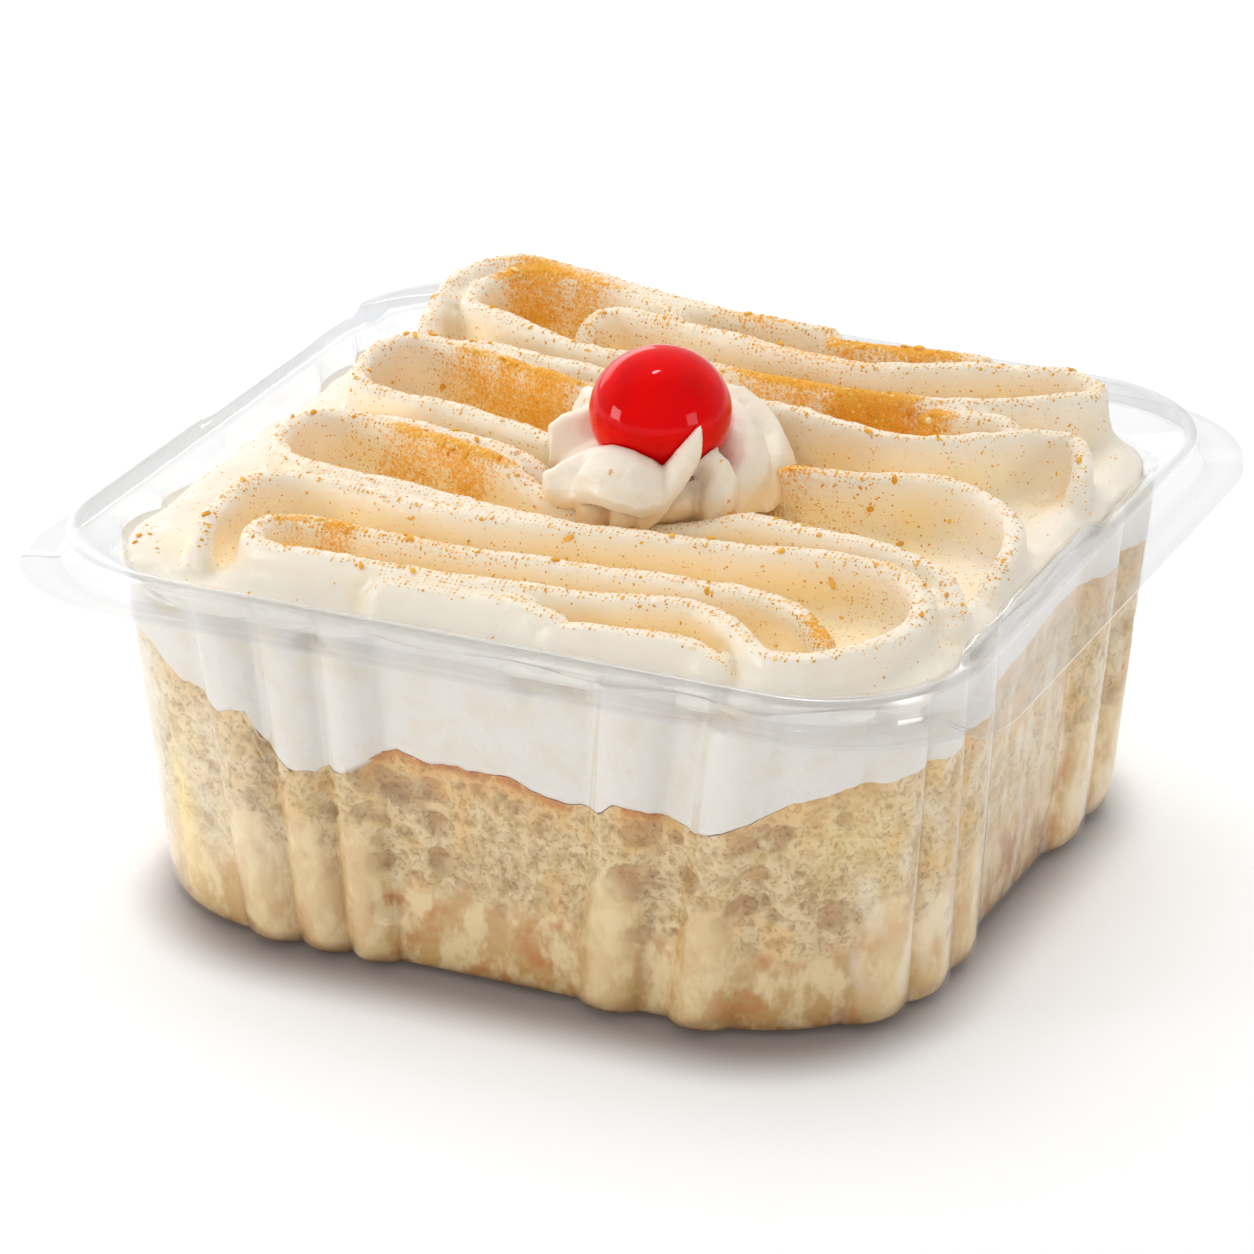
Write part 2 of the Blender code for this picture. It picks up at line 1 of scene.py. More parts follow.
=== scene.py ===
"""Looks of a tres leches cake in its clear tub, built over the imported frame.

Meshes are made in millimetres, with heights measured from FOOT_DEPTH above the tub's
underside, and are raised and scaled to metres when they are finished. The origin is
the middle of the underside, the broad front faces -Y and +Z is up.
"""

import logging
import math
from dataclasses import dataclass, field
from enum import Enum
from typing import Sequence

import bpy
import numpy as np
from mathutils import Matrix, Vector, noise


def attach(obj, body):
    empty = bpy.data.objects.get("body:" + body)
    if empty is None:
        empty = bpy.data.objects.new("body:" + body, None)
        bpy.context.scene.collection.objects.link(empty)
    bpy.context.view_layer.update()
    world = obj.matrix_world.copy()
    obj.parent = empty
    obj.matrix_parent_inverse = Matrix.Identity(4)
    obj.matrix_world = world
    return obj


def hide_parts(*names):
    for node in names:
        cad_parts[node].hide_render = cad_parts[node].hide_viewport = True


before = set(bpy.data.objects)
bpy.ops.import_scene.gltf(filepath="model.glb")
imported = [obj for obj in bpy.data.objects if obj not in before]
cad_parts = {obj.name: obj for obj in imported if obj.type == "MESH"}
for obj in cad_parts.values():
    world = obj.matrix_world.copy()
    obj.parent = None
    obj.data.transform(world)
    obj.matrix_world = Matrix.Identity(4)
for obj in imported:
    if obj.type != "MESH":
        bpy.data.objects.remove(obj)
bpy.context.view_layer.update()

MM = 0.001
FOOT_DEPTH = 1.0
CHERRY_MIDDLE = (6.0, -7.5, 64.0)
BODY = "root"
LOG = logging.getLogger("tres_leches_cake")

Colour = tuple[float, float, float]


def mix(low: float, high: float, share: float) -> float:
    """Linear mix of two numbers or arrays."""
    return low + (high - low) * share


def ramp(value: np.ndarray, start: float, end: float) -> np.ndarray:
    """Smooth 0 to 1 step from start to end."""
    share = np.clip((value - start) / (end - start), 0.0, 1.0)
    return share * share * (3.0 - 2.0 * share)


def soft_noise(points: np.ndarray, size: float, seed: float = 0.0) -> np.ndarray:
    """Smooth noise from -1 to 1.

    Args:
        points: rows of x, y, z in millimetres.
        size: width of its lumps in millimetres.
        seed: shifts the pattern.

    Returns:
        One value for each row.
    """
    shifted = points / size + seed * 17.3
    return np.array([noise.noise(row) for row in shifted.tolist()])


def smooth_curve(points: Sequence[Sequence[float]], steps: int) -> np.ndarray:
    """Catmull-Rom curve through rows of numbers.

    Args:
        points: the rows that it passes through.
        steps: how many pieces each span is cut into.

    Returns:
        The curve's rows, both ends included.
    """
    rows = np.array(points, float)
    rows = np.vstack([2 * rows[0] - rows[1], rows, 2 * rows[-1] - rows[-2]])
    curve = []
    for a, b, c, d in zip(rows, rows[1:], rows[2:], rows[3:]):
        for k in range(steps):
            t = k / steps
            curve.append(0.5 * (2 * b + (c - a) * t + (2 * a - 5 * b + 4 * c - d) * t ** 2
                                + (3 * b - a - 3 * c + d) * t ** 3))
    curve.append(rows[-2])
    return np.array(curve)


class Bench:
    """Modelling steps that the pieces share."""

    @staticmethod
    def clear_selection() -> None:
        """Deselects everything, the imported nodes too."""
        bpy.ops.object.select_all(action="DESELECT")

    @staticmethod
    def pick(piece: bpy.types.Object) -> None:
        """Selects one piece alone and makes it the active one."""
        Bench.clear_selection()
        piece.select_set(True)
        bpy.context.view_layer.objects.active = piece

    @staticmethod
    def rows(piece: bpy.types.Object) -> np.ndarray:
        """Vertex places of a piece, one row each."""
        flat = np.empty(len(piece.data.vertices) * 3)
        piece.data.vertices.foreach_get("co", flat)
        return flat.reshape(-1, 3)

    @staticmethod
    def move(piece: bpy.types.Object, rows: np.ndarray) -> None:
        """Puts a piece's vertices at new places."""
        piece.data.vertices.foreach_set("co", np.ascontiguousarray(rows).ravel())
        piece.data.update()

    @staticmethod
    def normals(piece: bpy.types.Object) -> np.ndarray:
        """Vertex normals of a piece, one row each."""
        flat = np.empty(len(piece.data.vertices) * 3, np.float32)
        piece.data.vertex_normals.foreach_get("vector", flat)
        return flat.reshape(-1, 3).astype(float)

    @staticmethod
    def stack_of_rings(name: str, rings: np.ndarray, open_top: bool = False) -> bpy.types.Object:
        """A circle primitive extruded ring by ring, then set to the rings' places.

        Args:
            name: the new piece's name.
            rings: places as ring, place in ring, xyz; counterclockwise and rising outside.
            open_top: True leaves the last ring open; the first is always filled.

        Returns:
            The piece, with its vertices in the rings' own order.
        """
        count, places, _ = rings.shape
        Bench.clear_selection()
        wide = float(places)
        bpy.ops.mesh.primitive_circle_add(vertices=places, radius=wide, fill_type="NOTHING")
        piece = bpy.context.active_object
        piece.name = piece.data.name = name
        bpy.ops.object.mode_set(mode="EDIT")
        bpy.ops.mesh.select_all(action="SELECT")
        for _ in range(count - 1):
            bpy.ops.mesh.extrude_region_move(TRANSFORM_OT_translate={"value": (0.0, 0.0, 1.0)})
        if not open_top:
            bpy.ops.mesh.edge_face_add()
        bpy.ops.mesh.select_all(action="DESELECT")
        bpy.ops.object.mode_set(mode="OBJECT")
        start = Bench.rows(piece)
        ring = np.rint(start[:, 2]).astype(int)
        turn = np.arctan2(start[:, 1], start[:, 0]) / (2 * math.pi) * places
        place = np.rint(turn).astype(int) % places
        for vert in np.flatnonzero(ring == 0).tolist():
            piece.data.vertices[vert].select = True
        bpy.ops.object.mode_set(mode="EDIT")
        bpy.ops.mesh.edge_face_add()
        bpy.ops.mesh.select_all(action="SELECT")
        bpy.ops.mesh.normals_make_consistent(inside=False)
        bpy.ops.object.mode_set(mode="OBJECT")
        Bench.move(piece, rings[ring, place])
        piece["ring"] = ring.tolist()
        piece["place"] = place.tolist()
        return piece

    @staticmethod
    def order(piece: bpy.types.Object) -> tuple[np.ndarray, np.ndarray]:
        """Ring number and place in the ring of each vertex of a stack of rings."""
        ring, place = np.array(piece["ring"]), np.array(piece["place"])
        del piece["ring"], piece["place"]
        return ring, place

    @staticmethod
    def join(pieces: Sequence[bpy.types.Object], name: str) -> bpy.types.Object:
        """Joins pieces into one mesh."""
        Bench.clear_selection()
        for piece in pieces:
            piece.select_set(True)
        bpy.context.view_layer.objects.active = pieces[0]
        bpy.ops.object.join()
        pieces[0].name = pieces[0].data.name = name
        return pieces[0]

    @staticmethod
    def apply(piece: bpy.types.Object, kind: str, **settings: object) -> None:
        """Adds a modifier of that kind with its settings and applies it."""
        Bench.pick(piece)
        modifier = piece.modifiers.new(kind.lower(), kind)
        for key, value in settings.items():
            setattr(modifier, key, value)
        bpy.ops.object.modifier_apply(modifier=modifier.name)

    @staticmethod
    def paint(piece: bpy.types.Object, name: str, values: np.ndarray) -> None:
        """Stores one number for each vertex, for the piece's material to read."""
        layer = piece.data.attributes.new(name, "FLOAT", "POINT")
        layer.data.foreach_set("value", values.astype(np.float32))

    @staticmethod
    def finish(piece: bpy.types.Object, finish: "Finish", nodes: Sequence[str] = (),
               sharp_deg: float = 60.0) -> bpy.types.Object:
        """Scales a piece to metres, smooths it, dresses it and puts it on its body.

        Args:
            piece: the finished mesh in millimetres.
            finish: the finish that makes its material.
            nodes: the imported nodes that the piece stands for.
            sharp_deg: edges that turn more than this stay sharp.

        Returns:
            The same piece.
        """
        piece.data.transform(Matrix.Scale(MM, 4) @ Matrix.Translation((0.0, 0.0, FOOT_DEPTH)))
        piece.data.materials.clear()
        piece.data.materials.append(finish.material())
        Bench.pick(piece)
        bpy.ops.object.shade_smooth_by_angle(angle=math.radians(sharp_deg))
        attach(piece, BODY)
        if nodes:
            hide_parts(*nodes)
        triangles = sum(len(face.vertices) - 2 for face in piece.data.polygons)
        LOG.info("%s: %d triangles", piece.name, triangles)
        return piece


class NodeSheet:
    """A material's node tree, with short calls for what the finishes use."""

    def __init__(self, name: str) -> None:
        """Starts a material of that name with its Principled shader."""
        self.material = bpy.data.materials.new(name)
        self.material.use_nodes = True
        self.tree = self.material.node_tree
        self.shader = self.tree.nodes["Principled BSDF"]
        self.output = self.tree.nodes["Material Output"]
        self.place = self.tree.nodes.new("ShaderNodeTexCoord").outputs["Object"]

    def add(self, kind: str, **settings: object) -> bpy.types.Node:
        """Adds a node and sets its properties."""
        node = self.tree.nodes.new(kind)
        for key, value in settings.items():
            setattr(node, key, value)
        return node

    def feed(self, socket: bpy.types.NodeSocket, value: object) -> None:
        """Links an output to a socket, or sets the socket to a number or colour."""
        if isinstance(value, bpy.types.NodeSocket):
            self.tree.links.new(value, socket)
        elif isinstance(value, tuple) and len(value) == 3 and len(socket.default_value) == 4:
            socket.default_value = (*value, 1.0)
        else:
            socket.default_value = value

    def plain(self, **values: object) -> None:
        """Sets sockets of the Principled shader; underscores stand for spaces."""
        for key, value in values.items():
            self.feed(self.shader.inputs[key.replace("_", " ")], value)

    def noise(self, size: float, detail: float = 2.0, rough: float = 0.5, warp: float = 0.0,
              stretch: Colour = (1.0, 1.0, 1.0)) -> bpy.types.NodeSocket:
        """Noise with lumps of a size in millimetres; stretch widens them along an axis."""
        node = self.add("ShaderNodeTexNoise")
        place = self.place
        if stretch != (1.0, 1.0, 1.0):
            mapping = self.add("ShaderNodeMapping")
            mapping.inputs["Scale"].default_value = tuple(1.0 / s for s in stretch)
            self.tree.links.new(self.place, mapping.inputs["Vector"])
            place = mapping.outputs["Vector"]
        self.tree.links.new(place, node.inputs["Vector"])
        node.inputs["Scale"].default_value = 1.0 / (size * MM)
        node.inputs["Detail"].default_value = detail
        node.inputs["Roughness"].default_value = rough
        node.inputs["Distortion"].default_value = warp
        return node.outputs["Fac"]

    def warped(self, size: float, reach: float) -> bpy.types.NodeSocket:
        """Places shifted by noise of a size, up to about half of reach, both in millimetres."""
        node = self.add("ShaderNodeTexNoise")
        self.tree.links.new(self.place, node.inputs["Vector"])
        node.inputs["Scale"].default_value = 1.0 / (size * MM)
        shift = self.add("ShaderNodeVectorMath", operation="MULTIPLY_ADD")
        self.feed(shift.inputs[0], node.outputs["Color"])
        shift.inputs[1].default_value = (reach * MM,) * 3
        self.feed(shift.inputs[2], self.place)
        return shift.outputs[0]

    def flecks(self, size: float, amount: object) -> tuple[bpy.types.NodeSocket, bpy.types.NodeSocket]:
        """Ragged flecks scattered over the piece.

        Args:
            size: how far apart they can lie at most, in millimetres.
            amount: the share of the places that hold a fleck, a number or an output.

        Returns:
            The mask of the flecks, and a random number for each.
        """
        node = self.add("ShaderNodeTexVoronoi")
        self.tree.links.new(self.warped(size * 0.45, size * 0.6), node.inputs["Vector"])
        node.inputs["Scale"].default_value = 1.0 / (size * MM)
        drawn = self.add("ShaderNodeSeparateColor")
        self.feed(drawn.inputs["Color"], node.outputs["Color"])
        reach = self.math("ADD", 0.1, self.math("MULTIPLY", drawn.outputs[1], 0.3))
        inside = self.math("MULTIPLY", self.math("SUBTRACT", reach, node.outputs["Distance"]), 12.0)
        mask = self.step(inside, 0.0, 1.0)
        chosen = self.math("LESS_THAN", drawn.outputs[0], amount)
        return self.math("MULTIPLY", mask, chosen), drawn.outputs[2]

    def math(self, operation: str, first: object, second: object = 0.0) -> bpy.types.NodeSocket:
        """Result of a sum on numbers or outputs."""
        node = self.add("ShaderNodeMath", operation=operation)
        self.feed(node.inputs[0], first)
        self.feed(node.inputs[1], second)
        return node.outputs[0]

    def step(self, value: object, start: float, end: float) -> bpy.types.NodeSocket:
        """Smooth 0 to 1 step of an output from start to end; start may be the larger."""
        node = self.add("ShaderNodeMapRange", interpolation_type="SMOOTHSTEP")
        self.feed(node.inputs["Value"], value)
        low, high = (0.0, 1.0) if start < end else (1.0, 0.0)
        for name, number in (("From Min", min(start, end)), ("From Max", max(start, end)),
                             ("To Min", low), ("To Max", high)):
            node.inputs[name].default_value = number
        return node.outputs["Result"]

    def blend(self, share: object, first: object, second: object) -> bpy.types.NodeSocket:
        """Colour between two colours or outputs."""
        node = self.add("ShaderNodeMix", data_type="RGBA")
        self.feed(node.inputs[0], share)
        self.feed(node.inputs[6], first)
        self.feed(node.inputs[7], second)
        return node.outputs[2]

    def tint(self, colour: object, over: object, share: object, most: float) -> bpy.types.NodeSocket:
        """Colour with another laid over it by a share, of which at most a part is used."""
        return self.blend(self.math("MULTIPLY", share, most), colour, over)

    def attribute(self, name: str) -> bpy.types.NodeSocket:
        """A number that was painted on the piece's vertices."""
        return self.add("ShaderNodeAttribute", attribute_name=name).outputs["Fac"]

    def bump(self, height: object, depth_mm: float) -> bpy.types.NodeSocket:
        """Normal of a relief whose full height is depth_mm."""
        node = self.add("ShaderNodeBump")
        node.inputs["Distance"].default_value = depth_mm * MM
        self.feed(node.inputs["Height"], height)
        return node.outputs["Normal"]


@dataclass(frozen=True)
class Finish:
    """A surface finish: its material's name and the slot it belongs to."""

    name: str = "finish"
    slot: str = ""

    def material(self) -> bpy.types.Material:
        """The finish's material, made once."""
        made = bpy.data.materials.get(self.name)
        return made if made is not None else self.make()

    def make(self) -> bpy.types.Material:
        """Builds the node tree."""
        raise NotImplementedError


@dataclass(frozen=True)
class ClearPlastic(Finish):
    """Clear thermoformed sheet, with painted grey lines along its folds and painted highlight lines where its
    mirror share is raised.
    """

    name: str = "clear_plastic_sheet"
    slot: str = "clear_plastic"
    passed: Colour = (0.978, 0.980, 0.983)
    edge: Colour = (0.84, 0.84, 0.843)
    haze: float = 0.03
    bend: float = 1.5

    def make(self) -> bpy.types.Material:
        """Thin sheet: mirrors by its Fresnel share, else lets what is behind it through."""
        sheet = NodeSheet(self.name)
        waves = sheet.bump(sheet.noise(9.0, detail=1.0, stretch=(1.0, 1.0, 3.0)), 0.12)
        slant = sheet.add("ShaderNodeLayerWeight")
        slant.inputs["Blend"].default_value = 0.25
        through = sheet.add("ShaderNodeBsdfTransparent")
        dim = sheet.math("POWER", sheet.step(slant.outputs["Facing"], 0.4, 1.0), 2.0)
        # Painted shade and highlight: fold greys what shows through along the folds; gleam raises the mirror
        # share and roughness along the ridge for brighter lines.
        fold, gleam = sheet.attribute("fold"), sheet.attribute("gleam")
        dim = sheet.math("MAXIMUM", dim, sheet.math("MULTIPLY", fold, 0.08))
        sheet.feed(through.inputs["Color"], sheet.blend(dim, self.passed, self.edge))
        mirror = sheet.add("ShaderNodeFresnel")
        mirror.inputs["IOR"].default_value = self.bend
        sheet.plain(Base_Color=(0.96, 0.96, 0.96), Metallic=1.0, Normal=waves,
                    Roughness=sheet.math("ADD", 0.05, sheet.math("MULTIPLY", gleam, 0.3)))
        outer = sheet.math("SUBTRACT", 1.0, sheet.add("ShaderNodeNewGeometry").outputs["Backfacing"])
        veil = sheet.math("ADD", mirror.outputs["Fac"], sheet.math("MULTIPLY", gleam, 0.3))
        veil = sheet.math("MULTIPLY", sheet.math("ADD", veil, self.haze), outer)
        either = sheet.add("ShaderNodeMixShader")
        sheet.feed(either.inputs[0], veil)
        sheet.feed(either.inputs[1], through.outputs["BSDF"])
        sheet.feed(either.inputs[2], sheet.shader.outputs["BSDF"])
        sheet.feed(sheet.output.inputs["Surface"], either.outputs["Shader"])
        return sheet.material


@dataclass(frozen=True)
class SpongeCrumb(Finish):
    """Open yellow crumb with a browned top crust, milk-soaked towards the base, with painted shade in its
    pits and pores and along its bottom edge.
    """

    name: str = "soaked_sponge"
    slot: str = "sponge_crumb"
    crumb: Colour = (0.60, 0.395, 0.15)
    pale: Colour = (0.76, 0.58, 0.31)
    # Colour of the painted shade in the pits and pores.
    pit_shade: Colour = (0.48, 0.18, 0.02)
    golden: Colour = (0.80, 0.49, 0.155)
    toast: Colour = (0.78, 0.40, 0.09)
    crust: Colour = (0.60, 0.22, 0.035)
    soak: Colour = (0.60, 0.36, 0.12)
    milk: Colour = (0.82, 0.62, 0.32)
    amber: Colour = (0.56, 0.22, 0.04)
    # Colour of the painted shade along the sponge's bottom edge.
    foot_shade: Colour = (0.28, 0.10, 0.02)
    smear: Colour = (0.97, 0.90, 0.74)
    butter: Colour = (0.98, 0.76, 0.28)

    def make(self) -> bpy.types.Material:
        """Crumb with painted shade in its pits, pores and bottom edge, soaked base and crust, mixed by what
        is painted on the piece.
        """
        sheet = NodeSheet(self.name)
        wet = sheet.attribute("soak")
        dry = sheet.math("SUBTRACT", 1.0, wet)
        mottle = sheet.noise(2.6, detail=3.0, rough=0.6)
        colour = sheet.blend(sheet.step(mottle, 0.32, 0.62), self.crumb, self.pale)
        patches = sheet.noise(6.5, detail=4.0, rough=0.6, warp=0.3)
        colour = sheet.tint(colour, self.golden, sheet.step(patches, 0.50, 0.64), 0.6)
        # Painted shade: the pores, nicks and pits are tinted darker, as if in shade.
        pores = sheet.step(sheet.noise(0.65, detail=3.0, rough=0.6, warp=0.15), 0.46, 0.33)
        nicks, _ = sheet.flecks(1.4, 0.24)
        open_crumb = sheet.math("MAXIMUM", sheet.math("MULTIPLY", pores, 0.6), nicks)
        colour = sheet.tint(colour, self.pit_shade, open_crumb, 0.38)
        colour = sheet.tint(colour, self.pit_shade, sheet.attribute("pit_shade"), 0.6)
        milky = sheet.blend(sheet.step(patches, 0.44, 0.64), self.soak, self.amber)
        streak = sheet.noise(3.6, detail=4.0, rough=0.6, stretch=(1.0, 1.0, 1.6))
        milky = sheet.blend(sheet.step(streak, 0.42, 0.62), milky, self.milk)
        milky = sheet.tint(milky, self.milk, sheet.attribute("rib"), 0.6)
        # Painted shade: a dark brown band, in patches, along the bottom edge.
        low = sheet.math("MULTIPLY", sheet.attribute("foot_shade"), sheet.step(patches, 0.3, 0.55))
        milky = sheet.blend(low, milky, self.foot_shade)
        colour = sheet.blend(wet, colour, milky)
        colour = sheet.blend(sheet.attribute("smear"), colour, self.smear)
        colour = sheet.blend(sheet.attribute("butter"), colour, self.butter)
        browned = sheet.math("MULTIPLY", sheet.attribute("crust"), sheet.step(mottle, 0.2, 0.5))
        colour = sheet.blend(browned, colour, self.toast)
        colour = sheet.blend(sheet.step(browned, 0.72, 0.95), colour, self.crust)
        holes = sheet.math("MULTIPLY", open_crumb, dry)
        relief = sheet.bump(sheet.math("SUBTRACT", 1.0, holes), 0.16)
        gloss = sheet.math("SUBTRACT", 0.6, sheet.math("MULTIPLY", wet, 0.38))
        sheet.plain(Base_Color=colour, Roughness=gloss, Normal=relief)
        return sheet.material


@dataclass(frozen=True)
class PressedCream(Finish):
    """White cream pressed against the plastic, with painted yellowish shade in its hollows where it leaves
    the wall.
    """

    name: str = "pressed_cream"
    slot: str = "whipped_cream"
    cream: Colour = (0.78, 0.735, 0.665)
    # Colour of the painted shade where the cream leaves the wall; the milky mottle uses it too.
    hollow: Colour = (0.75, 0.63, 0.45)

    def make(self) -> bpy.types.Material:
        """Smooth wet cream with painted warm shade where it leaves the wall."""
        sheet = NodeSheet(self.name)
        mottle = sheet.noise(4.5, detail=4.0, rough=0.6)
        colour = sheet.tint(self.cream, self.hollow, sheet.step(mottle, 0.42, 0.70), 0.45)
        # Painted shade where the cream leaves the wall.
        colour = sheet.tint(colour, self.hollow, sheet.attribute("hollow"), 0.6)
        waves = sheet.noise(3.0, detail=3.0)
        sheet.plain(Base_Color=colour, Roughness=0.4, Normal=sheet.bump(waves, 0.5))
        return sheet.material


@dataclass(frozen=True)
class PipedCream(Finish):
    """Ivory piped cream with warm painted shade in the valleys, dusted with cinnamon where painted."""

    name: str = "piped_cream_dusted"
    slot: str = "piped_cream"
    cream: Colour = (0.91, 0.84, 0.72)
    # Warm colour of the painted shade and bounce light in the valleys.
    valley: Colour = (0.99, 0.755, 0.39)
    haze: Colour = (0.98, 0.53, 0.09)
    powder: Colour = (0.95, 0.40, 0.015)
    light: Colour = (0.92, 0.56, 0.14)
    dark: Colour = (0.74, 0.34, 0.045)

    def make(self) -> bpy.types.Material:
        """Cream with painted warm shade in the valleys, and powder and specks that follow the painted dust.
        """
        sheet = NodeSheet(self.name)
        deep, dust = sheet.attribute("deep"), sheet.attribute("dust")
        # Painted shade: the deep attribute warms and darkens the cream low in the valleys between the crests.
        colour = sheet.blend(deep, self.cream, self.valley)
        thick = sheet.math("MINIMUM", dust, 1.0)
        lumps = sheet.math("SUBTRACT", sheet.noise(0.7, detail=4.0, rough=0.75), 0.5)
        ragged = sheet.math("ADD", dust, sheet.math("MULTIPLY", lumps, 2.2))
        colour = sheet.tint(colour, self.haze, sheet.step(ragged, 0.48, 1.1), 0.88)
        speckle = sheet.noise(0.6, detail=4.0, rough=0.75)
        cloud = sheet.math("ADD", speckle, sheet.math("MULTIPLY", dust, 0.34))
        colour = sheet.tint(colour, self.powder, sheet.step(cloud, 0.74, 0.86), 0.9)
        mask, tone = sheet.flecks(0.48, sheet.math("MULTIPLY", dust, 0.55))
        colour = sheet.blend(mask, colour, sheet.blend(tone, self.dark, self.light))
        waves = sheet.noise(3.0, detail=2.0, rough=0.45)
        grains = sheet.math("MULTIPLY", sheet.noise(0.45, detail=2.0, rough=0.6), dust)
        relief = sheet.bump(sheet.math("ADD", waves, grains), 0.4)
        gloss = sheet.math("ADD", 0.36, sheet.math("MULTIPLY", thick, 0.35))
        sheet.plain(Base_Color=colour, Roughness=gloss, Normal=relief,
                    Subsurface_Weight=0.35, Subsurface_Scale=0.002,
                    Subsurface_Radius=(1.0, 0.75, 0.4))
        return sheet.material


@dataclass(frozen=True)
class RosetteCream(Finish):
    """Bright white whipped cream with soft drag lines, a few specks and painted warm shade low down."""

    name: str = "rosette_whipped_cream"
    slot: str = "rosette_cream"
    cream: Colour = (0.86, 0.78, 0.65)
    # Colour of the painted shade low down on the rosette.
    shade: Colour = (0.82, 0.60, 0.35)
    speck: Colour = (0.80, 0.42, 0.12)

    def make(self) -> bpy.types.Material:
        """White cream with painted warm shade low down."""
        sheet = NodeSheet(self.name)
        # Painted shade: the lower part of the rosette takes the warmer, darker colour.
        colour = sheet.blend(sheet.attribute("deep"), self.cream, self.shade)
        mask, _ = sheet.flecks(1.4, 0.05)
        colour = sheet.blend(mask, colour, self.speck)
        waves = sheet.noise(1.8, detail=3.0, rough=0.5)
        sheet.plain(Base_Color=colour, Roughness=0.36, Normal=sheet.bump(waves, 0.25),
                    Subsurface_Weight=0.35, Subsurface_Scale=0.002,
                    Subsurface_Radius=(1.0, 0.8, 0.55))
        return sheet.material


@dataclass(frozen=True)
class CherrySkin(Finish):
    """Candied red skin under a wet glaze."""

    name: str = "candied_cherry_skin"
    slot: str = "cherry_skin"
    red: Colour = (0.80, 0.0, 0.0)
    dark: Colour = (0.66, 0.0, 0.0)

    def make(self) -> bpy.types.Material:
        """Deep red with a faint mottle and a clear coat."""
        sheet = NodeSheet(self.name)
        mottle = sheet.noise(7.0, detail=2.0)
        colour = sheet.blend(sheet.step(mottle, 0.4, 0.7), self.red, self.dark)
        waves = sheet.noise(5.0, detail=2.0)
        sheet.plain(Base_Color=colour, Roughness=0.3, Normal=sheet.bump(waves, 0.15),
                    Specular_IOR_Level=0.0, Coat_Weight=1.0, Coat_Roughness=0.04, Coat_IOR=1.24)
        return sheet.material


@dataclass(frozen=True)
class CinnamonGrain(Finish):
    """Matt orange-brown cinnamon and crumb."""

    name: str = "cinnamon_grain"
    light: Colour = (0.93, 0.54, 0.11)
    dark: Colour = (0.78, 0.36, 0.03)
    pale: Colour = (0.96, 0.74, 0.36)

    def make(self) -> bpy.types.Material:
        """Grains that differ from one to the next."""
        sheet = NodeSheet(self.name)
        tone = sheet.attribute("tone")
        blotch = sheet.math("MULTIPLY", sheet.step(sheet.noise(0.3, detail=2.0), 0.4, 0.6), 0.4)
        colour = sheet.blend(sheet.math("ADD", sheet.step(tone, 0.2, 0.7), blotch), self.light, self.dark)
        colour = sheet.blend(sheet.step(tone, 0.86, 0.92), colour, self.pale)
        sheet.plain(Base_Color=colour, Roughness=0.8, Specular_IOR_Level=0.15)
        return sheet.material


@dataclass(frozen=True)
class StudioFloor(Finish):
    """Plain pale floor with a painted contact shadow round the tub's base, painted darker far from the tub,
    and a faint glow of its own.
    """

    name: str = "pale_floor"
    pale: Colour = (0.96, 0.965, 0.975)
    paler: Colour = (0.97, 0.975, 0.985)
    # Colour of the painted dimming far from the tub, which evens out how the floor is lit.
    painted_far_dim: Colour = (0.86, 0.865, 0.875)
    # Colour of the painted contact shadow round the tub's base.
    close: Colour = (0.16, 0.11, 0.08)
    # Outline, shift and spread of the painted shadow and the painted dimming.
    foot_half: tuple[float, float] = (28.5, 27.5)
    foot_radius: float = 24.0
    shift: tuple[float, float] = (3.0, -6.0)
    reach: float = 10.0
    under: float = 4.0
    painted_shadow_most: float = 0.8
    fade: float = 4.0

    def make(self) -> bpy.types.Material:
        """Matt near-white with a painted shadow and a painted far dimming, mixed by the distance from the
        base's rounded outline, and a faint painted glow.
        """
        sheet = NodeSheet(self.name)
        colour = sheet.blend(sheet.noise(180.0, detail=2.0), self.pale, self.paler)
        parts = sheet.add("ShaderNodeSeparateXYZ")
        sheet.feed(parts.inputs[0], sheet.place)
        squares = []
        for axis in range(2):
            shifted = sheet.math("SUBTRACT", parts.outputs[axis], self.shift[axis] * MM)
            away = sheet.math("ABSOLUTE", shifted)
            over = sheet.math("MAXIMUM", sheet.math("SUBTRACT", away, self.foot_half[axis] * MM), 0.0)
            squares.append(sheet.math("MULTIPLY", over, over))
        far = sheet.math("SQRT", sheet.math("ADD", squares[0], squares[1]))
        radius = self.foot_radius * MM
        # Painted light: darker far from the tub, to even out how brightly the floor is lit.
        colour = sheet.blend(sheet.step(far, radius, self.fade * radius), colour, self.painted_far_dim)
        # Painted contact shadow, darkest just round the tub's base.
        shade = sheet.step(far, radius + self.reach * MM, radius - self.under * MM)
        colour = sheet.tint(colour, self.close, shade, self.painted_shadow_most)
        # Painted glow: the floor gives off a little light in its own colour.
        sheet.plain(Base_Color=colour, Roughness=0.9, Specular_IOR_Level=0.0,
                    Emission_Color=colour, Emission_Strength=0.1)
        return sheet.material


@dataclass(frozen=True)
class Places:
    """Places round the tub, one number each: wall, way along it, rib share, way round."""

    wall: np.ndarray
    mark: np.ndarray
    share: np.ndarray
    round: np.ndarray


